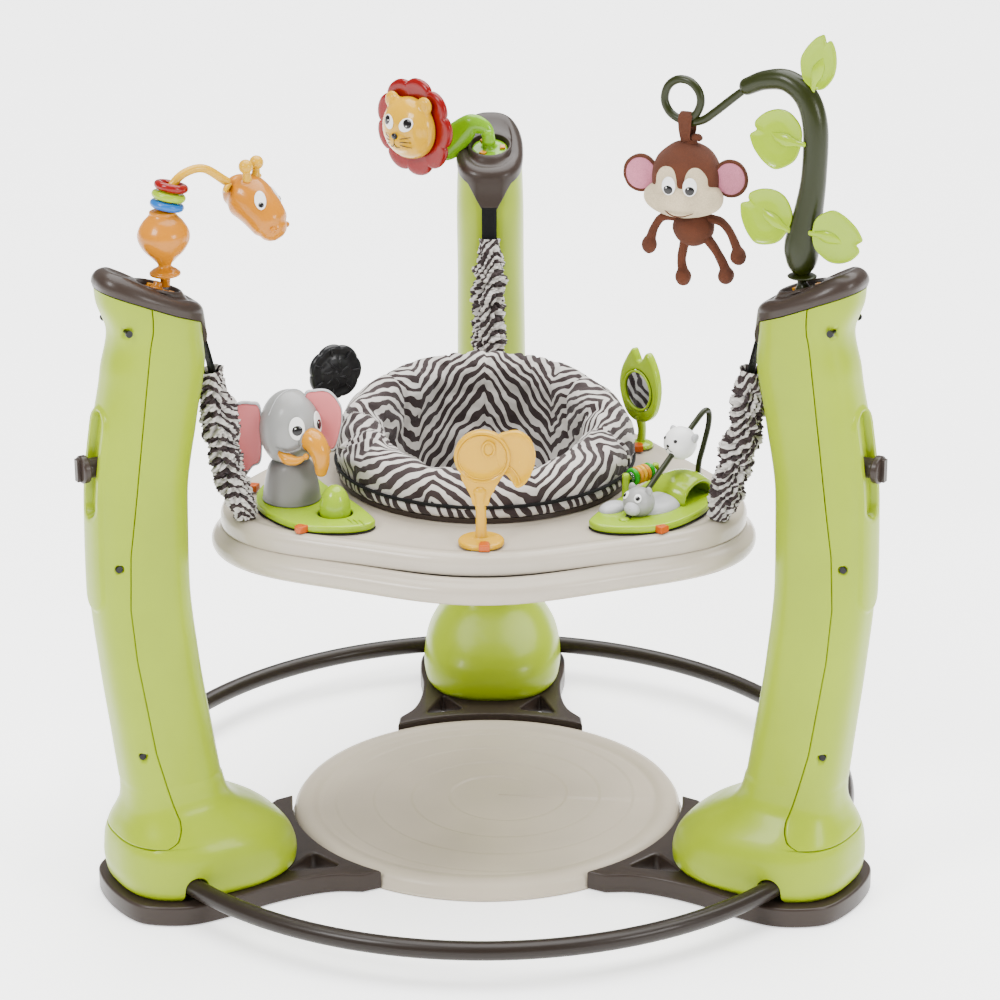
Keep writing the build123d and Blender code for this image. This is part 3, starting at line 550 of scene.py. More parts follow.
def plush(name, colour, depth=0.0007):
    """Short-pile plush: speckled nap with a soft sheen."""
    colour = paint(colour)
    m = Nodes(name)
    at = m.place()
    nap = m.noise(at, 900.0, 3.0, 0.7).outputs["Fac"]
    patch = m.noise(at, 45.0, 3.0).outputs["Fac"]
    both = m.math("MULTIPLY_ADD", nap, 0.6, m.math("MULTIPLY", patch, 0.4))
    m.link(m.ramp(both, [(0.3, tint(colour, 0.62)), (0.55, colour), (0.75, tint(colour, 1.35))]),
        m.shader.inputs["Base Color"])
    m.bump(nap, 0.7, depth)
    m.set(Roughness=0.95, Sheen_Weight=0.2, Sheen_Roughness=0.4, Sheen_Tint=(*tint(colour, 1.6), 1))
    return m.mat


M_TOWER = plastic("tower_green", (0.475, 0.575, 0.062), rough=0.33, grain=0.3, coat=0.15, scatter=0.05)
M_BROWN = plastic("moulded_brown", (0.046, 0.036, 0.031), rough=0.34, grain=0.35, coat=0.1)
M_BEIGE = plastic("moulded_beige", (0.80, 0.735, 0.635), rough=0.36, grain=0.25, coat=0.1)
M_TRAY = plastic("tray_beige", (0.72, 0.665, 0.585), rough=0.24, grain=0.15, coat=0.35)
M_TUBE = plastic("tube_paint", (0.020, 0.015, 0.012), rough=0.36, grain=0.5, coat=0.15)
M_LIME = plastic("toy_lime", (0.50, 0.66, 0.02), rough=0.22, grain=0.1, coat=0.4, scatter=0.08)
M_LEAF = plastic("leaf_lime", (0.48, 0.62, 0.0), rough=0.2, grain=0.1, coat=0.4, scatter=0.06)
M_VINE = plastic("vine_green", (0.022, 0.026, 0.0), rough=0.34, grain=0.2, coat=0.15)
M_GREY = plastic("elephant_grey", (0.50, 0.50, 0.49), rough=0.3, grain=0.2, coat=0.25, scatter=0.05)
M_DARKGREY = plastic("elephant_body_grey", (0.34, 0.335, 0.32), rough=0.35, grain=0.2, coat=0.2)
M_PALEGREY = plastic("pale_grey", (0.78, 0.78, 0.79), rough=0.28, grain=0.15, coat=0.25)
M_PINK = plastic("ear_pink", (0.86, 0.36, 0.37), rough=0.38, grain=0.3, coat=0.1, scatter=0.1)
M_ORANGE = plastic("toy_orange", (0.78, 0.43, 0.0), rough=0.22, grain=0.1, coat=0.4, scatter=0.1)
M_AMBER = plastic("giraffe_amber", (0.64, 0.32, 0.0), rough=0.24, grain=0.12, coat=0.35, scatter=0.1)
M_YELLOW = plastic("toy_yellow", (0.86, 0.57, 0.0), rough=0.26, grain=0.15, coat=0.3, scatter=0.15)
M_SUN = plastic("lion_yellow", (0.88, 0.58, 0.0), rough=0.2, grain=0.1, coat=0.4, scatter=0.1)
M_LATCH = plastic("latch_orange", (0.58, 0.19, 0.0), rough=0.28, grain=0.15, coat=0.3)
M_RED = plastic("toy_red", (0.24, 0.0, 0.004), rough=0.25, grain=0.12, coat=0.3, scatter=0.05)
M_BLUE = plastic("toy_blue", (0.01, 0.16, 0.44), rough=0.2, grain=0.1, coat=0.4)
M_STEM = plastic("stem_green", (0.34, 0.56, 0.0), rough=0.2, grain=0.1, coat=0.4, scatter=0.1)
M_BLACK = plastic("toy_black", (0.012, 0.012, 0.013), rough=0.3, grain=0.3, coat=0.3)
# near-black for the narrow gap under the toy plates' edges: painted shade
M_GAP_SHADE = plastic("painted_gap_shade", (0.012, 0.012, 0.011), rough=0.6, grain=0.2)
M_INK = plastic("eye_ink", (0.008, 0.007, 0.007), rough=0.15, grain=0.05, coat=0.6)
M_WHITE = plastic("eye_white", (1.45, 1.45, 1.43), rough=0.25, grain=0.05, coat=0.3)
M_WOOD = plastic("green_bead", (0.02, 0.36, 0.08), rough=0.25, grain=0.1, coat=0.3)
M_CLEAR = plastic("rattle_clear", (0.86, 0.90, 0.90), rough=0.06, grain=0.02, through=0.95)
M_STEEL = plastic("screw_steel", (0.05, 0.05, 0.05), rough=0.4, grain=0.6, metal=1.0)
M_SPRING = plastic("spring_steel", (0.55, 0.55, 0.57), rough=0.25, grain=0.4, metal=1.0)
M_MIRROR = plastic("mirror_film", (0.80, 0.81, 0.83), rough=0.04, grain=0.03, metal=1.0)
M_ZEBRA = zebra("zebra_cloth", (0.50, 0.475, 0.445), (0.030, 0.020, 0.020))
M_GATHER = zebra("zebra_gathered", (0.50, 0.475, 0.445), (0.030, 0.020, 0.020), pitch=0.023, slope=0.9,
    panel=0.5)
M_STRAP = webbing("black_webbing", (0.004, 0.004, 0.004))
M_PLUSH = plush("monkey_brown", (0.095, 0.034, 0.0))
M_CREAM = plush("monkey_cream", (0.86, 0.76, 0.60), depth=0.0004)
M_EARPINK = plush("monkey_pink", (0.72, 0.36, 0.44), depth=0.0004)


def ride(obj, body, nodes=()):
    """Puts a piece on its body and hides the CAD nodes it stands for."""
    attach(obj, body)
    if nodes:
        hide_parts(*nodes)
    return obj


# ---------- towers ----------
# side view and section of a tower by height: middle, half depth (A) and half width (B)
SECTION_Z = [60, 110, 200, 300, 400, 500, 590, 650, 695, 735, 775]
SECTION_X = [414, 417, 428, 441, 449, 447, 434, 422, 418, 424, 428]
SECTION_A = [57, 58, 57, 56, 56, 56, 58, 58, 52, 58, 56]
SECTION_B = [52, 51, 48, 46, 45, 44, 43, 43, 42, 40, 37]
BOOT_Z = [25, 34, 50, 66, 80, 92, 102, 110, 117, 125, 137, 155]
BOOT_X = [386, 386, 387, 389, 393, 398, 404, 409, 413, 416, 418.5, 421]
BOOT_A = [105, 109.5, 111, 108.5, 103, 94, 84, 75, 68.5, 63, 59.5, 57.6]
BOOT_B = [85, 89, 91, 89.5, 86, 80, 73, 66.5, 61, 56, 52.2, 50]
SEAM_Z = [90, 91.5, 97, 108, 118, 202, 320, 384, 447, 707, 780]
SEAM_X = [478, 456, 445, 438, 436, 456, 473, 478, 475, 437, 437]
CAP_X = [355, 360, 385, 395, 408, 449, 487, 500]
CAP_Z = [693, 697, 709, 713, 718, 736, 751, 754]
SOCKET_X, SOCKET_Z, SOCKET_TILT = 412, 742, 18


def body_params(z):
    """Middle, half depth and half width of a tower at a height, boot and column."""
    z = np.asarray(z, float)
    low = z < 155
    x = np.where(low, smooth_table(z, BOOT_Z, BOOT_X), smooth_table(z, SECTION_Z, SECTION_X))
    a = np.where(low, smooth_table(z, BOOT_Z, BOOT_A), smooth_table(z, SECTION_Z, SECTION_A))
    b = np.where(low, smooth_table(z, BOOT_Z, BOOT_B), smooth_table(z, SECTION_Z, SECTION_B))
    return x, a, b


def column_point(phi, z, push=0.0):
    """Point on the column in direction phi (0 outward, pi inward), z per point; push moves it outward."""
    x, a, b = body_params(z)
    p = 2.6
    r = (np.abs(np.cos(phi) / a) ** p + np.abs(np.sin(phi) / b) ** p) ** (-1 / p) + push
    return np.stack([x + r * np.cos(phi), r * np.sin(phi), np.broadcast_to(z, np.shape(phi))], axis=-1)


def seam_angle(z):
    """Direction in which the shell seam lies at a height."""
    want = float(np.interp(z, SEAM_Z, SEAM_X))
    low, high = 0.0, pi
    for _ in range(30):
        mid = (low + high) / 2
        if float(column_point(np.array(mid), np.array(float(z)))[0]) > want:
            low = mid
        else:
            high = mid
    return low


def cap_seam(x, w):
    """Height of the cap's lower edge over (x, w), with the spout tongue on the inner face."""
    base = np.interp(x, CAP_X, CAP_Z)
    tongue = 671 + np.maximum(0, np.abs(w) - 9.5) * 1.75
    inner = step(-np.asarray(x, float), -386, -372)
    low = base + (np.minimum(base, tongue) - base) * inner
    return low


def row_heights(z, phi):
    """Heights that run level below z 630 and follow the cap's seam above it."""
    z = np.full(np.shape(phi), float(z))
    if z.flat[0] <= 630:
        return z
    t = (z - 630) / 110
    for _ in range(3):
        p = column_point(phi, z)
        top = np.interp(p[..., 0], CAP_X, CAP_Z) - 1.0
        z = 630 + t * (top - 630)
    return z


def panel_push(w, z):
    """Raised panel and knob slot on the outer shell."""
    def stadium(w, z, low, high, half):
        mid = np.clip(z, low + half, high - half)
        return half - np.hypot(w, z - mid)

    panel = stadium(w, z, 372, 616, 25)
    slot = stadium(w, z, 487, 610, 14.0)
    return 3.2 * step(panel, 0, 5) - 1.2 * step(slot, -5, -1.5) - 21 * step(slot, 0, 3.2)


def tower_body():
    """Rows of the inner shell, sunk along the strip that the outer shell covers."""
    heights = np.concatenate([np.linspace(25, 155, 44), np.linspace(159, 630, 110),
        np.linspace(634, 740, 27)])
    rows = []
    for z in heights:
        s = seam_angle(max(z, 90.0))
        d = 0.007
        phi = np.concatenate([np.linspace(s + d, 2 * pi - s - d, 90), [2 * pi - s - d / 3],
            np.linspace(2 * pi - s + d / 3, 2 * pi + s - d / 3, 30), [2 * pi + s - d / 9]])
        zz = row_heights(z, phi)
        sunk = np.zeros(len(phi))
        if z > 90.5:
            sunk[91:121] = -6.5
            sunk[[90, 121]] = -2.0
        p = column_point(phi, zz, sunk)
        groove = np.exp(-((p[:, 1] - 5) / 5.0) ** 2) * step(-p[:, 0], -395, -375) if z > 150 else 0
        p[:, 0] += 2.4 * groove * float(step(z, 140, 170)) * float(1 - step(z, 600, 640))
        if z < 30:
            p[:, :2] = (p[:, :2] - [386, 0]) * (1 - 0.02 * (30 - z) / 5) + [386, 0]
        rows.append(p)
    return rows


def outer_shell():
    """Rows of the outer shell with its raised panel, knob slot and screw wells."""
    heights = np.concatenate([[90.4, 90.8, 91.6, 93, 95, 98, 102, 107, 113, 119], np.linspace(123, 370, 62),
        np.linspace(372, 618, 124), np.linspace(622, 740, 32)])
    rows = []
    n = 150
    for i, z in enumerate(heights):
        s = seam_angle(z)
        phi = np.linspace(-s + 0.005, s - 0.005, n)
        zz = row_heights(z, phi)
        p = column_point(phi, zz, 0.5)
        w = p[:, 1]
        side = step(p[:, 0], 470, 488) if 360 < z < 630 else 0
        push = panel_push(w, zz) * side
        edge = np.minimum(np.arange(n), np.arange(n)[::-1])
        rim = np.choose(np.minimum(edge, 3), [-4.0, -0.9, -0.25, 0.0]) + (-3.0 if i == 0 else -0.5 if i == 1
            else 0)
        for x0, z0 in ((463, 705), (488, 433), (470, 199)):
            hole = np.hypot(p[:, 0] - x0, zz - z0)
            push = push - 5.0 * (1 - step(hole, 3.2, 5.2)) * (np.abs(w) > 20)
        rows.append(column_point(phi, zz, 0.5 + push + rim))
    return rows


def boot_arch(obj, name):
    """Arched notches where the base tubes go into the boot."""
    for side in (-1, 1):
        outline = [(-13, -40), (-13, 42.6)] + [(13 * cos(t), 42.6 + 13 * sin(t))
            for t in np.linspace(pi, 0, 13)][1:-1] + [(13, 42.6), (13, -40)]
        rows = []
        for y in (58, 120):
            rows.append([(440 * cos(math.asin(y / 440)) + u, side * y, v) for u, v in outline])
        cutter = grid(name + "_cut", rows, M_GAP_SHADE, around=True, ends=(True, True))
        cut_away(obj, cutter)


def cap_top(x):
    """Height of the sloping top of a cap."""
    return np.interp(x, [340, 376, 470, 500], [708, 724, 766, 776])


def tower_cap():
    """Brown cap: side wall from the seam, rounded rim, sloping top, socket bowl and spout tongue."""
    n = 168
    phi = directions(n)
    base = column_point(phi, np.full(n, 735.0), 0.9)
    x0, w0 = base[:, 0], base[:, 1]
    for _ in range(4):
        z0 = cap_seam(x0, w0)
        p = column_point(phi, np.minimum(z0, 770), 0.9)
        x0, w0 = p[:, 0], p[:, 1]
    low = cap_seam(x0, w0)
    rows = []

    def level(z, out, proud):
        q = column_point(phi, np.minimum(z, 772), out)
        q[:, 0] -= proud
        q[:, 2] = z
        return q

    tongue = step(700 - low, 0, 18) * 5.0
    top = cap_top(column_point(phi, np.full(n, 750.0), 0)[:, 0])
    top = top + 3.0 * (1 - step(np.abs(phi - pi), 0.5, 1.0))
    rows.append(level(low + 6, -4.0, 0))
    rows.append(level(low + 0.4, -2.6, 0))
    rows.append(level(low, -0.6, tongue))
    rows.append(level(low + 0.6, 0.8, tongue))
    for t in np.linspace(0.06, 1, 14):
        z = low + t * (top - 15 - low)
        flare = 1.3 + 1.4 * t
        rows.append(level(z, flare, tongue * (1 - t) ** 0.8))
    for t in np.linspace(0.12, 1, 9):
        a = t * pi / 2
        z = top - 15 + 15 * sin(a)
        q = level(z, 2.7 - 15 * (1 - cos(a)), 0)
        rows.append(q)
    rim = rows[-1]
    tilt = math.radians(SOCKET_TILT)

    def socket(radius, lift):
        u = radius * np.cos(phi)
        v = radius * np.sin(phi)
        x = SOCKET_X + u * cos(tilt) - lift * sin(tilt)
        z = SOCKET_Z + u * sin(tilt) + lift * cos(tilt)
        return np.stack([x, v, z], axis=-1)

    for t in (0.25, 0.5, 0.75):
        target = socket(29, 1.0)
        q = rim + (target - rim) * t
        q[:, 2] -= 1.6 * sin(pi * t)
        rows.append(q)
    rows += [socket(27.5, 1.8), socket(26.2, 2.0), socket(25.0, 1.4), socket(24.4, 0), socket(24.2, -8.6),
        socket(23, -9), socket(10, -9)]
    return rows


body = grid("tower_inner", tower_body(), M_TOWER, ends=(True, True))
boot_arch(body, "boot")
smooth_faces(body.data)
body.data.set_sharp_from_angle(angle=math.radians(40))
shell = grid("tower_outer", outer_shell(), M_TOWER, around=False)
cap = grid("tower_cap", tower_cap(), M_BROWN, ends=(False, True))
for side, angle in TOWERS.items():
    ride(copy_of(body, f"tower_inner_{side}", turn(angle)), ROOT,
        [f"tower_inner_shell_{side}"])
    ride(copy_of(shell, f"tower_outer_{side}", turn(angle)), ROOT,
        [f"tower_outer_shell_{side}"])
    ride(copy_of(cap, f"cap_{side}", turn(angle)), ROOT, [f"tower_cap_{side}"])
for o in (body, shell, cap):
    bpy.data.objects.remove(o)


# ---------- base ----------
def base_plate_outline():
    """Foot under a tower, hollowed on the inside where it meets the foot pad."""
    half = 97
    pts = [(233, -118), (262, -101), (300, -93), (345, -92), (390, -half), (440, -half + 2),
        (478, -half + 22), (497, -50), (504, 0), (497, 50), (478, half - 22), (440, half - 2), (390, half),
        (345, 92), (300, 93), (262, 101), (233, 118)]
    side = spline(pts, 90)
    arc = [(241 * cos(t), 241 * sin(t)) for t in np.linspace(math.atan2(118, 207), -math.atan2(118, 207), 24)]
    return [tuple(p) for p in side] + arc


def window(side):
    """Rounded triangular opening in a base plate."""
    a = np.array([(258, 36 * side), (305, 64 * side), (245, 84 * side)], float)
    pts = []
    for i in range(3):
        before, here, after = a[i - 1], a[i], a[(i + 1) % 3]
        b = (before - here) / np.linalg.norm(before - here)
        c = (after - here) / np.linalg.norm(after - here)
        for t in np.linspace(0, 1, 7):
            pts.append(tuple(here + 9 * (b * (1 - t) ** 2 + c * t ** 2)))
    return pts


for side, angle in TOWERS.items():
    o = slab(f"base_plate_{side}_skin", [base_plate_outline(), window(1), window(-1)], 24.6, 3.4, M_BROWN,
        turn(angle), low=0.2)
    ride(o, ROOT, [f"base_plate_{side}"])


def pad_rows():
    """Rows of the foot pad: rim, sunk floor and its spiral leaf relief."""
    n = 240
    a = directions(n)
    edge = [(40, 0.6), (228, 0.6), (236.5, 0.8), (238, 3), (238.2, 9), (237.5, 14), (235, 18), (230.5, 21),
        (225, 22.2), (219, 22), (214, 20.8), (210, 19), (207, 17.8)]
    rows = [level_ring(r, a, z) for r, z in spline(edge[:9], 30).tolist() + edge[9:]]
    for r in np.linspace(204, 2, 120):
        z = np.full(n, 17.0)
        for k in range(4):
            ridge = 40 + 44 * (a / (2 * pi) + k) + 10 * np.cos(a - 0.9)
            z = z - 1.3 * (1 - step(r - ridge, -1.6, 1.6)) * (1 if k else step(a, 0.4, 1.6))
            z = z + 0.9 * step(r - ridge, 0, 42) * (1 - step(r - ridge, 42, 44)) * (0.4 if k < 3 else 0)
        x, y = r * np.cos(a), r * np.sin(a)
        rows.append(np.column_stack([x + 12 * (1 - r / 204), y + 22 * (1 - r / 204), z + 1.4]))
    return rows


ride(grid("foot_pad_skin", pad_rows(), M_BEIGE, ends=(True, True)), ROOT, ["foot_pad"])


# ---------- tray ----------
def tray_radius(a, front):
    """Distance of the tray's edge by direction: three lobes and a fuller front."""
    deg = np.degrees(a)
    r = np.full(np.shape(a), 246.0)
    for lobe in (90, 205, 335):
        d = (deg - lobe + 180) % 360 - 180
        r = r + 92 * np.exp(-((d / 28) ** 2))
    d = (deg - 270 + 180) % 360 - 180
    return r + front * np.exp(-((d / 42) ** 2))


TRAY_RING = 300


def tray_skin(profile, front):
    """Rows along the tray's edge; an inset of 1000 or more is a plain radius plus 1000."""
    n = TRAY_RING
    a = directions(n)
    outer = tray_radius(a, front)
    rows = []
    for inset, z in profile:
        if inset >= 1000:
            r = np.full(n, inset - 1000.0)
        else:
            r = outer - inset
        rows.append(level_ring(r, a, z))
    return rows


def top_deck():
    """Rows of the upper shell: skirt, sunk deck and the ring that the seat turns in."""
    n = TRAY_RING
    a = directions(n)
    skirt = spline([(15, 424.4), (13.2, 425.5), (12.4, 429), (12.2, 435), (12.8, 440.5), (15.5, 445.5),
        (20, 448.3), (26, 449), (31, 448.2), (35, 447.2), (40, 446.8)], 40)
    rows = tray_skin([tuple(p) for p in skirt], 42)
    outer = tray_radius(a, 42) - 40
    for t in np.linspace(0.06, 1, 22):
        r = outer + (177.5 - outer) * t
        z = 446.8 + 0.6 * sin(pi * t)
        rows.append(level_ring(r, a, z))
    for r, z in ((175, 447.6), (172, 448.6), (169, 448.9), (166.4, 448.2), (165, 446), (165, 436),
        (165, 424.4)):
        rows.append(level_ring(r, a, z))
    return rows


low_edge = spline([(60, 393.3), (24, 393.2), (15, 393.3), (8, 395.4), (3.5, 399.5), (1.4, 404.5),
    (1.0, 409), (2.2, 413.5), (5.6, 417.4), (9.6, 420.4), (12.2, 423), (14.5, 424.6), (18, 424.8)], 54)
bottom_rows = tray_skin([(1165, 424.2), (1165, 400), (1166, 395), (1169, 393.6), (1174, 393.3)] + [tuple(p)
    for p in low_edge], 50)
ride(grid("tray_upper", top_deck(), M_TRAY, around=True), TRAY, ["tray_top"])
ride(grid("tray_lower", bottom_rows, M_TRAY, around=True), TRAY, ["tray_bottom"])


# ---------- seat ----------
def crest(a):
    """Height of the top of the seat's roll in a direction."""
    deg = np.degrees(a) % 360
    dip = sum(np.exp(-(((deg - c + 180) % 360 - 180) / 9) ** 2) for c in (188, 352))
    return 528 + 24 * np.sin(a) - 9 * dip


def roll_radius(a):
    """Distance of the top of the roll from the middle."""
    return 149 + 2.0 * np.sin(a)


def seat_rows():
    """Rows of the seat: stuffed roll, inside wall, sling floor and underside."""
    n = 180
    a = directions(n)
    top, mid = crest(a), roll_radius(a)
    front = 0.5 - 0.5 * np.sin(a)
    rows = []

    def row(r, z):
        rows.append(level_ring(r, a, z))

    row(158.0, 457.5)
    row(168.0, 457.2)
    row(172.0, 460.0)
    span = top - 460
    for f, out in ((0.12, 174.5), (0.25, 176), (0.4, 175.5), (0.55, 173), (0.7, 168.5), (0.83, 163),
        (0.93, 157)):
        row(out + (mid - 149), 460 + f * span)
    row(mid, top)
    width = 26 + 8 * front
    for b in np.linspace(0.16, 1, 7):
        t = b * pi / 2
        row(mid - 2 - width * sin(t), top - 24 * (1 - cos(t)) - 6 * b)
    low = top - 30
    for f in np.linspace(0.1, 1, 11):
        r_end, z_end = 128.0, 408.0
        row((mid - 2 - width) + (r_end - mid + 2 + width) * f, low + (z_end - low) * f)
    for r, z in ((124, 390), (116, 370), (104, 354), (88, 341), (66, 332), (40, 328), (12, 327)):
        row(r, z)
    for r, z in ((12, 318.5), (40, 318.8), (70, 323), (96, 334), (115, 350), (127, 370), (137, 392),
        (146, 418), (151, 440)):
        row(r, z)
    row(152.0, 455.0)
    return rows


def seam_pull(v):
    """Sewn channels: how far each point of the seat is drawn in at the panel seams."""
    a = np.degrees(np.arctan2(v[:, 1], v[:, 0]))
    r = np.hypot(v[:, 0], v[:, 1])
    depth = np.zeros(len(v))
    for seam in (90, 142, 38, 195, 345, 270):
        arc = np.radians((a - seam + 180) % 360 - 180) * r
        depth = np.maximum(depth, np.exp(-(arc / 3.2) ** 2) * (0.55 if seam == 270 else 1.0))
    for pleat in (60, 66, 72, 108):
        arc = np.radians((a - pleat + 180) % 360 - 180) * r
        depth = np.maximum(depth, 0.8 * np.exp(-(arc / 2.6) ** 2) * step(v[:, 2], 500, 535))
    return depth * step(v[:, 2], 440, 480)


def seat_mesh():
    """Seat cloth with leg holes, seams, wrinkles and its cloth coordinates."""
    rows = seat_rows()
    seat = grid("seat_skin", rows + [rows[0]], M_ZEBRA)
    for side in (-1, 1):
        m = Matrix.Translation((side * 70, -70, 358)) @ turn(45 * side) @ spin(125, "X")
        cutter = lathe("leg_cut", [(43, -50), (43, 50)], M_ZEBRA, m, 40)
        cut_away(seat, cutter)
    modified(seat, "REMESH", mode="VOXEL", voxel_size=0.005)
    puff(seat)
    modified(seat, "SUBSURF", levels=1, render_levels=1)
    seat.data.materials.clear()
    seat.data.materials.append(M_ZEBRA)
    smooth_faces(seat.data)
    v = coords(seat)
    nrm = point_normals(seat)
    wrinkle = np.array([mnoise.noise(Vector((p[0] * 0.018, p[1] * 0.018, p[2] * 0.03))) + 0.5
        * mnoise.noise(Vector((p[0] * 0.05, p[1] * 0.05, p[2] * 0.07))) for p in v])
    v = v + nrm * (2.2 * wrinkle * step(v[:, 2], 340, 420) - 3.8 * seam_pull(v))[:, None]
    tuft = np.array([-146.0, -52.0, 497.0])
    d = np.linalg.norm(v - tuft, axis=1)
    swirl = np.arctan2(v[:, 2] - tuft[2], v[:, 1] - tuft[1])
    v = v + nrm * (-(9 * np.exp(-(d / 10) ** 2)) + 1.8 * np.exp(-(d / 34) ** 2)
        * np.sin(swirl * 7 + d * 0.12))[:, None]
    v[:, 2] = np.maximum(v[:, 2], np.where(np.hypot(v[:, 0], v[:, 1]) > 156, 456.0, 318.0))
    set_coords(seat, v)
    a = np.arctan2(v[:, 1], v[:, 0])
    t = np.hypot(v[:, 0], v[:, 1]) - roll_radius(a)
    along = -0.8 * t - 0.8 * (crest(a) - v[:, 2]) * np.tanh(t / 10)
    cloth_map(seat, np.column_stack([(a - pi / 2) * 0.15 + 0.942, along * 0.001]))
    return seat


def puff(obj):
    """Swells the stuffed cloth with Blender's cloth solver, held along its seams and at the ring."""
    before = coords(obj)
    group = obj.vertex_groups.new(name="held")
    held = np.clip(seam_pull(before) + (before[:, 2] < 462) * 1.0, 0, 1)
    for i in np.nonzero(held > 0.35)[0]:
        group.add([int(i)], float(held[i]), "REPLACE")
    mod = obj.modifiers.new("cloth", "CLOTH")
    s = mod.settings
    s.use_pressure = True
    s.uniform_pressure_force = 4.0
    s.quality = 5
    s.mass = 0.3
    s.tension_stiffness = 12
    s.compression_stiffness = 12
    s.bending_stiffness = 0.3
    s.shrink_min = -0.05
    s.vertex_group_mass = "held"
    s.effector_weights.gravity = 0.0
    mod.collision_settings.use_self_collision = False
    scene = bpy.context.scene
    for f in range(1, 17):
        scene.frame_set(f)
    evaluated(obj)
    scene.frame_set(1)
    move = coords(obj) - before
    far = np.linalg.norm(move, axis=1)[:, None]
    set_coords(obj, before + move * np.minimum(1.0, 7.0 / np.maximum(far, 1e-6)))


seat = seat_mesh()
ride(seat, SEAT, ["seat_fabric"])

n = 360
a = directions(n)
band_rows = []
for r, z in ((170, 455.8), (174.6, 456.2), (176.6, 459), (177.2, 463), (176.6, 466.5), (174.5, 468.2),
    (170, 468.6)):
    ripple = 0.5 * np.sin(a * 90) + 0.4 * np.sin(a * 23 + 1)
    band_rows.append(level_ring(r + ripple, a, z))
binding = grid("seat_binding", band_rows, M_ZEBRA)
v = coords(binding)
cloth_map(binding, np.column_stack([v[:, 2] * 0.0006, np.arctan2(v[:, 1], v[:, 0]) * 0.176 + 0.3]))
ride(binding, SEAT)
piping = tube("seat_piping", [(177.6 * cos(t), 177.6 * sin(t), 470.2)
    for t in np.linspace(0, 2 * pi - 0.004, 60)], [2.0] * 60, M_STRAP, count=360, sides=10)
cloth_map(piping, coords(piping)[:, :2] * 0.001)
ride(piping, SEAT)


# ---------- straps, springs and gathered covers ----------
# ends of a cover as (distance from the middle, height): under the cap, and at the tray
KNEE, HANG = (350.5, 636.0), (313.0, 452.0)
COVER_ROWS, COVER_SIDES = 300, 110
COIL_TURNS, COIL_STEPS = 18, 12


def cover_rows(seed):
    """Rows of a gathered cover: rounded folds that pile up around the spring."""
    rows = []
    n, m = COVER_ROWS, COVER_SIDES
    axis0, axis1 = np.array([KNEE[0], 0, KNEE[1]]), np.array([HANG[0], 0, HANG[1]])
    direct = (axis1 - axis0) / np.linalg.norm(axis1 - axis0)
    side = np.array([0, 1.0, 0])
    out = np.cross(direct, side)
    a = directions(m)
    length = np.linalg.norm(axis1 - axis0)
    for i in range(n):
        t = i / (n - 1)
        base = np.interp(t, [0, 0.03, 0.08, 0.2, 0.4, 0.62, 0.8, 0.92, 0.965, 1.0],
            [12.0, 10.0, 11.5, 13.2, 14.0, 14.0, 13.6, 12.0, 9.0, 11.0])
        amp = np.interp(t, [0, 0.05, 0.2, 0.85, 0.96, 1], [1.6, 2.2, 6.0, 5.6, 2.6, 2.2])
        fold = np.empty(m)
        for j, q in enumerate(a):
            c, s = cos(q), sin(q)
            lift = 0.35 * mnoise.noise(Vector((c * 1.3, s * 1.3, t * 3 + seed)))
            x = (t + 0.045 * lift) * length
            big = mnoise.noise(Vector((c * 0.9, s * 0.9 + seed, x * 0.06)))
            mid = mnoise.noise(Vector((c * 2.0 + seed, s * 2.0, x * 0.11 + c * 0.8)))
            small = mnoise.noise(Vector((c * 3.4, s * 3.4 + seed, x * 0.24 + s)))
            fold[j] = (1 - 3.2 * abs(mid)) * 0.8 + big * 1.2 + 0.5 * (1 - 3 * abs(small))
        r = base + amp * fold
        sway = 1.8 * sin(t * 9 + seed) * sin(pi * t)
        centre = axis0 + direct * (length * t) + out * sway + np.array([7.5 * sin(pi * t), 0, 0])
        rows.append(centre + r[:, None] * (np.cos(a)[:, None] * side + np.sin(a)[:, None] * out))
    return rows


def spring_points():
    """Helix of a coil spring, bowed as its cover is."""
    top, low = np.array([347.0, 0, 608.0]), np.array([314.5, 0, 470.0])
    direct = (low - top) / np.linalg.norm(low - top)
    side = np.array([0, 1.0, 0])
    out = np.cross(direct, side)
    pts = []
    for i in range(COIL_TURNS * COIL_STEPS + 1):
        t = i / (COIL_TURNS * COIL_STEPS)
        q = 2 * pi * COIL_TURNS * t
        bow = np.array([2 + 6 * sin(pi * t), 0, 0])
        pts.append(top + (low - top) * t + bow + 7.2 * (cos(q) * side + sin(q) * out))
    return pts


def ribbon(points, width, thick, name):
    """Webbing strap along points (distance, height) of the tower's side view."""
    line = spline([(x, 0, z) for x, z in points], 90)
    along = np.gradient(line, axis=0)
    along /= np.linalg.norm(along, axis=1)[:, None]
    over = np.cross(along, (0, 1, 0))
    corner = [(-1, -0.5), (-0.97, 0.5), (-0.5, 0.62), (0, 0.66), (0.5, 0.62), (0.97, 0.5), (1, -0.5),
        (0.5, -0.62), (0, -0.66), (-0.5, -0.62)]
    rows, uv = [], []
    run = np.concatenate([[0], np.cumsum(np.linalg.norm(np.diff(line, axis=0), axis=1))])
    for p, o, s in zip(line, over, run):
        rows.append([p + np.array([0, 1, 0]) * (u * width / 2) + o * (k * thick) for u, k in corner])
        uv += [(u * width / 2000, s / 1000) for u, k in corner]
    obj = grid(name, rows, M_STRAP, ends=(True, True))
    cloth_map(obj, np.array(uv))
    return obj


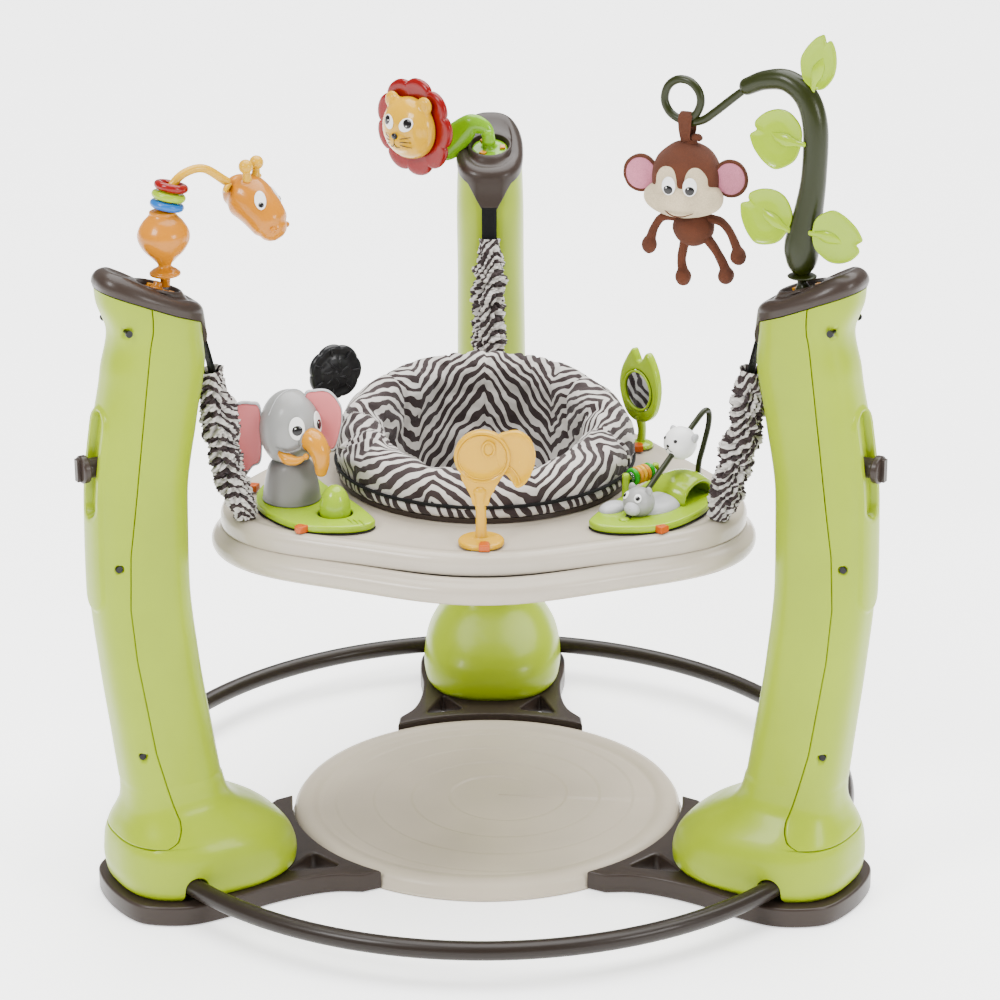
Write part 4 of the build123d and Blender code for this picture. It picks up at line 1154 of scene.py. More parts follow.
STRAP_LINE = [(477, 536), (477, 590), (469, 648), (456, 696), (440, 708), (410, 711), (386, 709),
    (372, 702), (364.5, 688), (358, 668), (350.5, 636), (347, 612)]
coil_points = spring_points()
for index, (side, angle) in enumerate(TOWERS.items()):
    cover = grid(f"gathered_cover_{side}", cover_rows(3.7 * index + 1.3), M_GATHER, around=True)
    rowi = np.repeat(np.arange(COVER_ROWS), COVER_SIDES) / (COVER_ROWS - 1)
    colj = np.tile(np.arange(COVER_SIDES), COVER_ROWS) / COVER_SIDES
    cloth_map(cover, np.column_stack([0.055 * np.cos(2 * pi * (colj - 0.12)) + 0.2 * index + 0.25,
        rowi * 0.30 + 0.13 * index]))
    modified(cover, "SOLIDIFY", thickness=0.0008, offset=-1)
    smooth_faces(cover.data)
    cover.data.transform(turn(angle))
    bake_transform(cover)
    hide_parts(f"spring_cover_{side}")
    strap = ribbon(STRAP_LINE, 19, 2.0, f"hanging_strap_{side}")
    strap.data.transform(turn(angle))
    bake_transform(strap)
    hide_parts(f"strap_{side}")
    coil = tube(f"coil_spring_{side}", coil_points, [1.25] * len(coil_points), M_SPRING, sides=8,
        count=len(coil_points))
    coil.data.transform(turn(angle))
    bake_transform(coil)
    if side == "left":
        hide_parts("springs")


# ---------- materials for the CAD pieces that stay ----------
KEEP = {"base_tube_front": M_TUBE, "base_tube_right": M_TUBE, "base_tube_left": M_TUBE,
    "tower_screws": M_STEEL, "tray_screws": M_STEEL, "seat_ring": M_BROWN, "strap_anchors": M_BROWN,
    "mirror_glass": M_MIRROR, "height_knob_left": M_BROWN, "height_knob_right": M_BROWN,
    "height_knob_back": M_BROWN}
for node, mat in KEEP.items():
    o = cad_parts[node]
    for spot in o.material_slots:
        spot.material = mat


# ---------- toy helpers ----------
def place_at(x, y, z, deg=0.0):
    """Local frame standing at a point: +X is the way the toy faces, +Z is up."""
    return Matrix.Translation((x, y, z)) @ turn(deg)


def disc(name, outline, rings, mat, place=None):
    """Sculpted plate: the outline scaled about its middle, each ring (scale, height)."""
    o = np.asarray(outline, float)
    c = o.mean(axis=0)
    rows = [np.column_stack([c + (o - c) * s, np.full(len(o), float(z))]) for s, z in rings]
    return grid(name, rows, mat, place, ends=(True, True))


def eye(name, centre, normal, white, pupil, place, low=0.22):
    """Raised white oval (half width, half height) with a glossy pupil and a white dot of painted highlight on
    it, square to a head's surface.
    """
    n = Vector(normal).normalized()
    spot = aim(centre, n)
    parts = [
        ball(name + "_white", (0, 0, 0), (white[0], white[1], 1.7), M_WHITE, spot, seg=32),
        ball(name + "_pupil", (0, -low * white[1], 1.0), (pupil, pupil, 1.3), M_INK, spot, seg=28),
        # the small white dot on the pupil is a painted highlight
        ball(name + "_painted_glint", (-pupil * 0.35, -low * white[1] + pupil * 0.4, 2.15),
            (pupil * 0.15, pupil * 0.15, 0.3), M_WHITE, spot, seg=12),
    ]
    for p in parts:
        p.data.transform(scaled(place))
    return parts


def on_skin(obj, origin, direction):
    """Point and outward direction where a line from inside a piece leaves its skin."""
    tree = BVHTree.FromPolygons([v.co for v in obj.data.vertices], [p.vertices[:] for p in obj.data.polygons])
    way = Vector(direction).normalized()
    at, normal, _, _ = tree.ray_cast(Vector(origin) * 0.001 + way * 0.3, -way)
    return at * 1000, normal


def latch(name, x, y, deg):
    """Orange snap tab at the edge of a toy base."""
    outline = [(-6, -7), (6, -7), (6.4, 0), (5, 6), (0, 8), (-5, 6), (-6.4, 0)]
    return slab(name, [outline], 8.5, 1.6, M_LATCH, place_at(x, y, 449.4, deg))


PLATE = [(178, -108), (200, -117), (232, -120), (259, -102), (279, -77), (288, -54), (291, -28), (291, -4),
    (286, 18), (276, 36), (262, 50), (246, 62), (228, 68), (215, 65), (208, 56), (198, 20), (190, -25),
    (185, -66)]


def bow_outline(side):
    """Outline of a toy plate; side is -1 on the left of the tray and 1 on the right."""
    return [(x, -side * y) for x, y in closed(PLATE, 140)]


def toy_plate(name, side, holes=()):
    """Plate standing proud of the deck, with a thin dark line of painted shade where it meets the tray."""
    place = turn(270 + 50 * side)
    plate = slab(name, [bow_outline(side)] + list(holes), 9, 2.8, M_LIME, place, low=449.2)
    middle = (246, 27 * side)
    rim = [(middle[0] + (x - middle[0]) * 1.006, middle[1] + (y - middle[1]) * 1.006)
        for x, y in bow_outline(side)]
    # a near-black sheet just under the plate's edge: painted shade in the gap over the deck
    gap = slab(name + "_gap", [rim], 0.9, 0.3, M_GAP_SHADE, place, low=448.4)
    return plate, gap


# ---------- elephant on the left of the tray ----------
ELEPHANT_AT = place_at(-222, -114, 0, -45)
dome_at = turn(-220) @ Vector((-169, -160, 0))
dome_hole = oval(64, 20, 20, dome_at.x, dome_at.y)
# groove here is the dark sheet under the plate's edge: painted shade
base, groove = toy_plate("elephant_plate", -1, [dome_hole])
ride(base, TRAY, ["elephant_base"])
ride(groove, TRAY)
for i, (x, y, d) in enumerate(((-205, -201, 135), (-272, -66, 75))):
    ride(latch(f"latch_l{i}", x, y, d), TRAY)
for i in range(3):
    vent = tube(f"vent_{i}", [(-153 + 6.5 * i, -184 - 1.5 * i, 458.6),
        (-149 + 6.5 * i, -190 - 1.5 * i, 458.6), (-147 + 6.5 * i, -196 - 1.5 * i, 458.4)], [1.0, 1.3, 0.9],
        M_LEAF, count=8, sides=8)
    ride(vent, TRAY)
torso = lathe("elephant_torso", [(20, 458.2), (33, 458.3), (33.4, 462), (32, 474), (29.5, 487), (26.5, 498),
    (22, 505), (14, 508.5), (6, 509.5)], M_DARKGREY, place_at(-222, -114, 0), 96, 60)
ride(torso, TRAY, ["elephant_body"])


def on_ball(centre, radii, side, rise):
    """Point and outward direction on an ellipsoid, side and rise in degrees."""
    a, b = math.radians(side), math.radians(rise)
    d = Vector((cos(a) * cos(b), sin(a) * cos(b), sin(b)))
    p = Vector(centre) + Vector((d.x * radii[0], d.y * radii[1], d.z * radii[2]))
    n = Vector((d.x / radii[0], d.y / radii[1], d.z / radii[2])).normalized()
    return p, n


SKULL_AT, SKULL = (0, 0, 544.5), (35.5, 35.5, 46)
head = ball("elephant_skull", SKULL_AT, SKULL, M_GREY, ELEPHANT_AT, seg=72)
v = coords(head)
v[:, 2] = np.maximum(v[:, 2], 509.8)
set_coords(head, v)
parts = [head]
for s in (1, -1):
    p, n = on_ball(SKULL_AT, SKULL, 27 * s, 13)
    parts += eye(f"eye_{s}", p, n, (9.5, 13.5), 6.4, ELEPHANT_AT, 0.15)
parts.append(lathe("trunk_collar", [(10, -3), (14.5, -2.5), (15.4, 0), (14.6, 2.5), (10, 3)], M_DARKGREY,
    ELEPHANT_AT @ aim((33.5, 0, 539), (1, 0, 0.02)), 48, 20))
parts.append(tube("trunk", [(26, 0, 538), (34, 0, 539), (42, 0, 538), (50, 0, 530), (54, 0, 517),
    (53, 0, 504)], [13, 13.8, 13.4, 12, 9.6, 6.8], M_ORANGE, ELEPHANT_AT, sides=32, count=50))
for s in (1, -1):
    parts.append(tube(f"tusk_{s}", [(17, 27 * s, 524), (26, 27 * s, 520), (36, 22 * s, 519),
        (43, 16 * s, 523)], [6.0, 8.0, 6.2, 3.0], M_ORANGE, ELEPHANT_AT, sides=24, count=30, flat=0.75))
    parts.append(ball(f"tusk_tip_{s}", (44.5, 15 * s, 524.5), (3.6, 3.6, 3.6), M_ORANGE, ELEPHANT_AT, seg=20))
    parts.append(tube(f"cheek_{s}", [(14, 33 * s, 531), (26, 27.5 * s, 528), (36, 18 * s, 532),
        (37, 14 * s, 538)], [0.7, 0.9, 0.9, 0.6], M_DARKGREY, ELEPHANT_AT, sides=8, count=20))
parts.append(tube("brow", [on_ball(SKULL_AT, (35.8, 35.8, 46.3), a, r)[0]
    for a, r in ((90, 30), (90, 60), (0, 89), (-90, 60), (-90, 30))], [0.7] * 5, M_PALEGREY, ELEPHANT_AT,
    sides=8, count=40))
head = join("elephant_head_skin", parts)
ride(head, "elephant_turning_head", ["elephant_head"])
ears = []
ear_line = closed([(0, 34), (12, 42), (29, 40), (41, 22), (44, 4), (41, -22), (34, -46), (25, -45),
    (12, -30), (1, -20)], 90)
for s, lift, out, tall in ((-1, -8, 32.5, 1.12), (1, 16, 17, 0.84)):
    outward, ahead = math.radians(-85 + 90 * s), math.radians(-85)
    x, z = Vector((cos(outward), sin(outward), 0)), Vector((cos(ahead), sin(ahead), 0))
    face = Matrix((x, Vector((0, 0, 1)) * tall, z)).transposed().to_4x4()
    face.translation = Vector((-222, -114, 540 + lift)) + x * out
    rim = [(0.3, -0.4), (0.9, -0.2), (0.97, 0.4), (1.0, 2.2), (0.99, 4.2), (0.965, 5.1), (0.94, 4.6),
        (0.925, 3.2), (0.3, 2.4)]
    inner = [(0.1, 2.0), (0.88, 2.2), (0.925, 3.4), (0.92, 4.4), (0.88, 4.7), (0.7, 3.9), (0.4, 3.3),
        (0.02, 3.2)]
    ears.append(disc(f"ear_{s}", ear_line, rim, M_PALEGREY, face))
    ears.append(disc(f"ear_lining_{s}", ear_line, inner, M_PINK, face))
ride(join("elephant_ears_skin", ears), "elephant_turning_head", ["elephant_ears"])
button = lathe("push_dome", [(10, 455.6), (17, 455.8), (17.8, 458), (17.8, 464), (17.2, 470), (15, 478.5),
    (11, 485.5), (6, 489.8), (1, 491.2)], M_LIME, place_at(-169, -160, 0), 64, 50)
ride(button, "elephant_push_button", ["elephant_button"])

# ---------- toucan teether at the front ----------
bird = Matrix.Translation((2, -234, 553)) @ spin(90, "X")
face_line = closed(oval(16, 32, 31), 96)
beak_line = closed([(15, 22), (27, 29), (41, 30), (54, 20), (59.5, 2), (56, -18), (47, -33), (38, -37),
    (33, -30), (27, -22), (20, -18), (14, 0)], 110)
neck_line = closed([(-23, -18), (22, -16), (16, -34), (8, -50), (6, -58), (-10, -58), (-14, -46)], 70)
plate_rings = [(0.3, -6), (0.93, -6), (0.985, -4), (1.0, 0), (0.985, 4), (0.93, 6), (0.90, 5.6),
    (0.87, 4.2), (0.5, 4.2), (0.02, 4.2)]
toucan = [
    disc("bird_face", face_line, [(a, b * 1.1) for a, b in plate_rings], M_YELLOW, bird),
    disc("bird_beak", beak_line, [(a, b * 0.85) for a, b in plate_rings[:-2]] + [(0.5, 3.2), (0.02, 2.6)],
        M_YELLOW, bird),
    disc("bird_neck", neck_line, [(a, b * 0.8) for a, b in plate_rings[:-3]] + [(0.5, 4.6), (0.02, 4.6)],
        M_YELLOW, bird),
]
toucan.append(tube("eye_ring", hoop(30, 6.5, 8.5, 5.4, 7, 10), [1.5] * 30, M_YELLOW, bird, count=60,
    sides=10, rounded=False))
toucan.append(disc("eye_boss", closed(oval(12, 5.5, 7.5, 7, 10), 40),
    [(1, 3.5), (1, 5), (0.8, 5.6), (0.02, 5.6)], M_YELLOW, bird))
toucan.append(tube("face_ring", hoop(40, 26.5, 25.5, 4.8), [0.9] * 40, M_YELLOW, bird, count=90, sides=8,
    rounded=False))
toucan.append(tube("beak_line", [(24, -10, 4), (31, -12, 4.0), (38, -20, 4.0), (42, -30, 4)], [1.0] * 4,
    M_YELLOW, bird, count=24, sides=8))
toucan.append(tube("bird_stem", [(0, -234, 453), (0, -234, 470), (0, -234, 487), (-1, -234, 500),
    (-1, -234, 512)], [7.2, 6.2, 6.0, 6.4, 9], M_YELLOW, None, sides=24, count=30))
toucan.append(lathe("bird_foot", [(8, 449.3), (25, 449.3), (26, 450.3), (26, 452.5), (23.5, 454.6),
    (14, 455.6), (7.6, 456.4), (6.6, 459)], M_YELLOW, place_at(0, -234, 0), 64, 40))
ride(join("toucan_skin", toucan), TRAY, ["toucan_teether"])
ride(latch("bird_latch", 4, -257, 0), TRAY)

# ---------- leaf mirror and spinner at the back of the tray ----------
facing = math.degrees(math.atan2(-92, -187)) + 12
stand = aim((187, 92, 480), (cos(math.radians(facing)), sin(math.radians(facing)), 0),
    (cos(math.radians(facing + 90)), sin(math.radians(facing + 90)), 0))
leaf = closed([(0, 1), (17, 6), (30, 20), (36, 44), (33, 66), (25, 82), (17, 91), (12, 90), (7, 83),
    (0, 78), (-6, 86), (-12, 92), (-22, 80), (-33, 60), (-36, 38), (-28, 16), (-16, 4)], 150)
round_hole = oval(64, 25.6, 25.6, 0, 41)
mirror = [
    slab("leaf_rim", [[tuple(p) for p in leaf], round_hole], 10, 3.2, M_LEAF, stand, low=-5),
    disc("leaf_back", np.array(round_hole) * 0.99 + np.array([0, 0.4]),
        [(0.1, -4.2), (0.99, -4.2), (1.0, -3), (0.99, 0.4), (0.02, 0.4)], M_LEAF, stand),
    tube("leaf_stem", [(187, 92, 452), (188.5, 91, 460), (189, 91, 472), (187, 92, 486)],
        [6.4, 5.4, 5.2, 6.2], M_LEAF, None, sides=24, count=30),
    lathe("leaf_foot", [(6, 449.3), (15.6, 449.3), (16.2, 450.4), (15.6, 453), (12, 455), (6.6, 456.5)],
        M_LEAF, place_at(187, 92, 0), 48, 30),
]
mirror.append(tube("mirror_ring", hoop(40, 24.2, 24.2, 5.0, 0, 41), [1.6] * 40, M_LEAF, stand, count=90,
    sides=10, rounded=False))
ride(join("mirror_leaf", mirror), TRAY, ["mirror_frame"])
ride(latch("mirror_latch", 184, 74, 0), TRAY)
spin_dir = Vector((cos(math.radians(-60)), sin(math.radians(-60)), 0))
stalk = [
    tube("stalk", [(-187, 92, 452), (-186, 92, 480), (-188, 92, 515), (-187.5, 92, 547)],
        [6.5, 5.2, 5, 5.2], M_BLACK, None, sides=20, count=40),
    lathe("stalk_foot", [(6, 449.3), (15.6, 449.3), (16, 451), (14.5, 453.6), (6.4, 456.5)], M_BLACK,
        place_at(-187, 92, 0), 48, 30),
    tube("stalk_axle", [Vector((-187, 92, 547)), Vector((-187, 92, 547)) + spin_dir * 14], [3, 3], M_BLACK,
        None, sides=16, count=8),
]
ride(join("spinner_stalk", stalk), TRAY, ["flower_stalk"])
wheel_place = aim(Vector((-187, 92, 547)) + spin_dir * 6.6, spin_dir)
petals = lobed(32.6, 2.4, 7, 0.6, 210)
wheel = [disc("petals", petals, [(0.15, 0), (0.95, 0), (0.99, 1), (1, 3.5), (0.985, 6), (0.93, 8.0),
    (0.86, 8.4), (0.8, 7.2), (0.6, 6.6), (0.56, 7.4), (0.5, 8.2), (0.3, 8.6), (0.15, 8.6)], M_BLACK,
    wheel_place)]
for k in range(7):
    q = 2 * pi * k / 7
    wheel.append(tube(f"petal_rib{k}", [(21 * cos(q), 21 * sin(q), 7.6), (26 * cos(q), 26 * sin(q), 8.2),
        (32 * cos(q), 32 * sin(q), 7.6)], [0.8, 1.3, 0.8], M_BLACK, wheel_place, sides=8, count=16))
    wheel.append(tube(f"petal_curl{k}", [(7 * cos(q), 7 * sin(q), 8.6),
        (12 * cos(q + 0.35), 12 * sin(q + 0.35), 8.8), (17 * cos(q + 0.3), 17 * sin(q + 0.3), 8.0)],
        [0.7, 1.2, 0.6], M_BLACK, wheel_place, sides=8, count=14))
ride(join("spinner_wheel_skin", wheel), "spinner_wheel", ["flower_spinner"])

# ---------- bead toy on the right of the tray ----------
# groove here is the dark sheet under the plate's edge: painted shade
base, groove = toy_plate("bead_plate", 1)
plate = [base]
for spot, size in (((200, -137), (37, 25, 13)), ((150, -148), (20, 14, 9))):
    plate.append(ball("grey_pillow", (0, 0, 0), size, M_PALEGREY, place_at(*spot, 457.5, 50), seg=56))
saddle = []
for t in np.linspace(0, 1, 26):
    q = pi * t
    saddle.append([(-33 * cos(q) * (1 - 0.12 * w * w), 24 * w, 32 * sin(q) ** 0.7 * (1 - 0.2 * w * w))
        for w in np.linspace(-1, 1, 15)] + [(-29 * cos(q) * (1 - 0.12 * w * w), 22.5 * w,
        max(0.0, 32 * sin(q) ** 0.7 * (1 - 0.2 * w * w) - 4)) for w in np.linspace(1, -1, 15)])
plate.append(grid("lime_saddle", saddle, M_LEAF, place_at(231, -104, 456, 52), ends=(True, True)))
for s in (-1, 1):
    d = Vector((0.7071, 0.7071, 0)) * 25 * s
    plate.append(lathe(f"post_{s}", [(5, 457), (4.4, 465), (4.2, 480), (4.6, 484), (3, 487)], M_LIME,
        place_at(183 + d.x, -92 + d.y, 0), 24, 20))
plate.append(lathe("wire_socket", [(8.5, 457), (8, 462), (7, 470), (5.6, 472.5), (3.8, 473)], M_LIME,
    place_at(250, -72, 0), 32, 24))
plate.append(lathe("wire_socket_front", [(7, 456.5), (6, 459.5), (4, 460.5)], M_LIME,
    place_at(162, -184, 0), 32, 16))
ride(join("bead_plate_skin", plate), TRAY, ["bead_base"])
ride(groove, TRAY)
for i, (x, y, d) in enumerate(((203, -200, 45), (270, -72, 105))):
    ride(latch(f"latch_r{i}", x, y, d), TRAY)
wire = tube("bead_wire_skin", [(160.5, -186, 453), (179, -163, 472), (203.5, -132.5, 497), (228, -102, 522),
    (244, -82, 538), (256, -69, 549), (262, -62, 546), (262, -62, 530), (256, -67, 505), (251, -71.5, 485),
    (250, -72, 456)], [3.4] * 11, M_VINE, None, sides=16, count=150)
ride(wire, TRAY, ["bead_wire"])
HIPPO_AT = place_at(179, -163, 472, -130)
hippo = [
    ball("hippo_skull", (0, 0, 0), (18.5, 18.5, 17.5), M_GREY, HIPPO_AT, seg=48),
    ball("hippo_nose", (15, 3, -3), (9.5, 9.5, 8.5), M_PALEGREY, HIPPO_AT, seg=32),
]
for s in (-1, 1):
    hippo.append(ball(f"hippo_ear{s}", (-3, 12 * s, 14), (3.5, 4.5, 6), M_GREY, HIPPO_AT, seg=20))
    p, n = on_ball((0, 0, 0), (18.5, 18.5, 17.5), 34 * s, 34)
    hippo += eye(f"hippo_eye{s}", p, n, (4.4, 5.2), 2.9, HIPPO_AT, 0.1)
    hippo.append(ball(f"hippo_nostril{s}", (23.2, 3 + 3 * s, -0.5), (1.2, 1.2, 1.2), M_PALEGREY, HIPPO_AT,
        seg=12))
ride(join("hippo_skin", hippo), "lower_bead", ["hippo_bead"])
LAMB_AT = place_at(228, -102, 522, -140)
lamb = [ball("lamb_skull", (0, 0, 0), (19.5, 19.5, 19.5), M_WHITE, LAMB_AT, seg=56)]
for s in (-1, 1):
    lamb.append(ball(f"lamb_ear{s}", (-6, 17 * s, 8), (5, 4.5, 8), M_PALEGREY, LAMB_AT, seg=24,
        tilt=Matrix.Rotation(-0.6 * s, 4, "X")))
    lamb.append(ball(f"lamb_eye{s}", (15.6, 8.6 * s, 7.5), (2.2, 2.2, 2.2), M_INK, LAMB_AT, seg=20))
    lamb.append(tube(f"lamb_mouth{s}", [(19.2, 0, -1.5), (18.4, 3.2 * s, -5), (17, 6.5 * s, -5.5)],
        [0.6, 0.7, 0.5], M_INK, LAMB_AT, sides=8, count=14))
lamb.append(ball("lamb_nose", (19.2, 0, 0.5), (1.6, 2.6, 1.8), M_INK, LAMB_AT, seg=16))
ride(join("lamb_skin", lamb), "upper_bead", ["lamb_bead"])
RATTLE_AT = Matrix.Translation((183, -92, 480)) @ turn(45) @ spin(90, "Y")
rattle = [lathe("rattle_drum", [(3, -19.6), (6.4, -19.4), (6.8, -18), (6.8, 18), (6.4, 19.4), (3, 19.6)],
    M_CLEAR, RATTLE_AT, 40)]
for k, (z, m) in enumerate(((-13, M_WOOD), (-6.5, M_ORANGE), (0, M_SUN), (6.5, M_ORANGE), (13, M_WOOD))):
    rattle.append(lathe(f"rattle_bead{k}", [(3, z - 3), (8.4, z - 2.9), (10.4, z - 1), (10.4, z + 1),
        (8.4, z + 2.9), (3, z + 3)], m, RATTLE_AT, 40, 24))
rattle.append(lathe("rattle_axle", [(2.1, -26), (2.1, 26)], M_LIME, RATTLE_AT, 20))
ride(join("rattle_skin", rattle), "rattle", ["rattle_roller"])

# ---------- tower toys ----------
LEFT_TOWER, RIGHT_TOWER, BACK_TOWER = (turn(TOWERS[side]) for side in ("left", "right", "back"))


def socket_cup(name, tower, mats):
    """Bright lining and toy foot inside a cap's round socket."""
    lean = tower @ Matrix.Translation((SOCKET_X, 0, SOCKET_Z)) @ spin(-SOCKET_TILT, "Y")
    foot = lathe(name, [(4, -8.8), (22.5, -8.7), (23.3, -7.5), (22.6, -4.5), (19, -3.6), (10, -3.0), (6, 1),
        (4.6, 6)], mats[0], lean, 64, 40)
    tabs = []
    for k in range(3):
        q = 2 * pi * k / 3 + 0.5
        tabs.append(slab(f"{name}_tab{k}", [[(-4, -3), (4, -3), (3.5, 4), (-3.5, 4)]], 4, 1.1, mats[1],
            lean @ Matrix.Translation((16 * cos(q), 16 * sin(q), -4.5)) @ turn(math.degrees(q) - 90)))
    return [foot] + tabs


# ---------- giraffe on the left tower ----------
body = lathe("giraffe_bulb", [(5, 741), (5.6, 748), (6.8, 752), (14, 755.5), (16, 757.5), (14, 760),
    (8, 764), (8.6, 768), (14, 774), (22, 782), (27.5, 791), (29.3, 799), (27.5, 807), (22.5, 815),
    (17.5, 820.5), (15, 824), (14.5, 827), (8, 828.4)], M_AMBER,
    LEFT_TOWER @ Matrix.Translation((402, 0, 0)), 96, 110)
skirt = lathe("giraffe_skirt", [(13, 753), (16.8, 754.6), (17.4, 756.5), (16.2, 758.2), (12, 759.5)],
    M_AMBER, LEFT_TOWER @ Matrix.Translation((402, 0, 0)), 72, 24)
neck = tube("giraffe_neck", [(402, 0, 815), (398, 0, 820), (395, 0, 840), (388, 0, 856), (372, 0, 867),
    (350, 0, 868), (324, 0, 850)], [5.6, 5.0, 4.8, 4.8, 4.8, 4.8, 5.2], M_YELLOW, LEFT_TOWER, sides=24,
    count=80)
ride(join("giraffe_body_skin", [body, skirt, neck] + socket_cup("giraffe_foot", LEFT_TOWER,
    (M_AMBER, M_ORANGE))), ROOT, ["giraffe_body"])
GIRAFFE_AT = LEFT_TOWER @ Matrix.Translation((298, 0, 828)) @ turn(120)
skull = [tube("g1", [(-14, 0, 6), (-6, 0, 3), (4, 0, -2), (14, 0, -10), (23, 0, -19), (29, 0, -27),
    (32, 0, -31)], [20, 25.5, 26, 24.5, 23, 21, 17], M_AMBER, None, sides=40, count=60)]
skull = fuse("giraffe_skull", skull, 1.6, 6, M_AMBER)
face = []
for s in (1, -1):
    face.append(tube(f"horn{s}", [(5, 7.5 * s, 18), (5, 9 * s, 28), (5, 10 * s, 35)], [6.4, 4.6, 4.4],
        M_YELLOW, GIRAFFE_AT, sides=18, count=20))
    face.append(ball(f"horn_tip{s}", (5, 10.4 * s, 38.5), (8.0, 8.0, 8.0), M_YELLOW, GIRAFFE_AT, seg=28))
    face.append(disc(f"g_ear{s}", closed([(0, -4), (8, -6), (17, -3), (20, 1), (15, 5), (6, 5), (0, 3)],
        50), [(0.2, -2), (0.9, -1.8), (1, 0), (0.9, 1.8), (0.7, 0.6), (0.1, 0.2)], M_YELLOW,
        GIRAFFE_AT @ Matrix.Translation((-12, 17 * s, 16)) @ turn(75 * s) @ spin(62, "X")))
    spot, way = on_skin(skull, (8, 0, -4), (0.74, 0.60 * s, 0.32))
    face += eye(f"g_eye{s}", spot, way, (6.6, 11.0), 3.3, GIRAFFE_AT, 0.5)
    spot, way = on_skin(skull, (26, 0, -26), (0.72, 0.62 * s, -0.1))
    face.append(ball(f"g_nostril{s}", spot, (3.6, 3.6, 3.4), M_AMBER, GIRAFFE_AT, seg=18))
skull.data.transform(scaled(GIRAFFE_AT))
face.append(skull)
ride(join("giraffe_head_skin", face), ROOT, ["giraffe_head"])
for node, (x, z, mat) in {"ring_blue": (396.5, 833.0, M_BLUE), "ring_lime": (394.0, 843.2, M_LEAF),
    "ring_red": (390.5, 853.5, M_RED)}.items():
    m = LEFT_TOWER @ Matrix.Translation((x, 0, z)) @ spin(-14, "Y")
    loop = []
    for t in directions(64):
        loop.append([((14.5 + 4.8 * cos(q)) * cos(t), (14.5 + 4.8 * cos(q)) * sin(t), 4.8 * sin(q))
            for q in directions(20)])
    ring = grid(node + "_skin", loop + [loop[0]], mat, m)
    ride(ring, "neck_" + node, [node])


# ---------- lion on the back tower ----------
def lion_rise(x, y):
    """Height share of the lion's face over a point of it."""
    return math.sqrt(1 - (x / 41) ** 2 - (y / 40) ** 2)


look_a = math.radians(230)
lion_at = Vector((-92, 392, 773))
lion_n = Vector((cos(look_a), sin(look_a), 0))
LION_AT = aim(lion_at, lion_n)
mane_line = lobed(56.5, 7.0, 9, 0.55, 288)
mane = disc("mane_skin", mane_line, [(0.09, 0), (0.93, 0), (0.985, 1.2), (1.0, 4), (0.985, 7.2),
    (0.94, 8.8), (0.86, 8.9), (0.7, 7.6), (0.4, 7.2), (0.09, 7.2)], M_RED, LION_AT)
ride(mane, "mane_wheel", ["lion_mane"])
lion = [
    ball("lion_skull", (0, 0, 12), (41, 40, 27), M_SUN, None, seg=72),
    ball("lion_muzzle", (0, -13, 26), (22, 16, 17), M_SUN, None, seg=48),
]
for s in (-1, 1):
    lion.append(ball(f"lion_ear{s}", (27 * s, 32, 15), (12.5, 12.5, 5.5), M_SUN, None, seg=36))
lion = fuse("lion_skull_skin", lion, 1.8, 12, M_SUN)
v = coords(lion)
v[:, 2] = np.maximum(v[:, 2], 9.4)
set_coords(lion, v)
lion.data.transform(scaled(LION_AT))
face = [lion]
for s in (-1, 1):
    n = Vector((14.5 * s / 41 ** 2, 10 / 40 ** 2, 26 * lion_rise(14.5, 10) / 27 ** 2)).normalized()
    face += eye(f"lion_eye{s}", (14.5 * s, 10, 12 + 27 * lion_rise(14.5, 10) - 0.3), n, (8.2, 10.8), 6.2,
        LION_AT, 0.25)
    face.append(disc(f"lion_ear_dip{s}", closed(oval(10, 7, 7, 27 * s, 33), 36),
        [(1, 18.5), (0.95, 20.2), (0.6, 19.8), (0.05, 19.6)], M_SUN, LION_AT))
    for k in range(3):
        face.append(tube(f"whisker{s}{k}", [(9 * s, -8 - 4 * k, 42.2 - 0.3 * k),
            (15 * s, -6.5 - 5.5 * k, 40.0 - 0.6 * k), (21 * s, -5.5 - 7 * k, 35.0 - 1.3 * k)],
            [0.45, 0.6, 0.3], M_INK, LION_AT, sides=8, count=16))
    face.append(tube(f"smile{s}", [(0, -15.5, 42.8), (3.4 * s, -19.5, 42.0), (7.5 * s, -19.6, 40.6)],
        [0.5, 0.6, 0.4], M_INK, LION_AT, sides=8, count=14))
face.append(ball("lion_nose", (0, -5.5, 42.2), (4.6, 4.0, 2.6), M_INK, LION_AT, seg=28))
face.append(tube("lip_line", [(0, -8, 43.0), (0, -15.5, 42.9)], [0.5, 0.5], M_INK, LION_AT, sides=8, count=8))
ride(join("lion_face_skin", face), ROOT, ["lion_face"])
hub = lion_at - lion_n * 16
local = BACK_TOWER.inverted() @ hub
stem = [
    tube("lion_arm", [(410, 1, 741), (411, 2, 756), (412, 8, 766), (415, 24, 768), (419, 44, 750),
        (419, 60, 740), (local.x + 3, local.y - 4, 757)], [7.5, 8.5, 10, 14, 19, 19.5, 12], M_STEM,
        BACK_TOWER, sides=32, count=90, flat=0.55, up=(1, 0, 0.1)),
    tube("lion_arm_knob", [(411, 1, 748), (411, 2, 758)], [9, 8], M_STEM, BACK_TOWER, sides=24, count=8),
    tube("lion_boss", [hub - lion_n * 6, hub + lion_n * 13], [8, 8], M_STEM, None, sides=24, count=10),
    ball("stem_bead", BACK_TOWER @ Vector((407, 66, 728)), (8, 8, 8), M_ORANGE, None, seg=28),
    tube("lion_hub_tie", [hub - lion_n * 4, BACK_TOWER @ Vector((local.x + 3, local.y - 4, 757))], [7, 8],
        M_STEM, None, sides=20, count=10),
]
ride(join("lion_stem_skin", stem + socket_cup("lion_foot", BACK_TOWER, (M_STEM, M_ORANGE))), ROOT,
    ["lion_stem"])

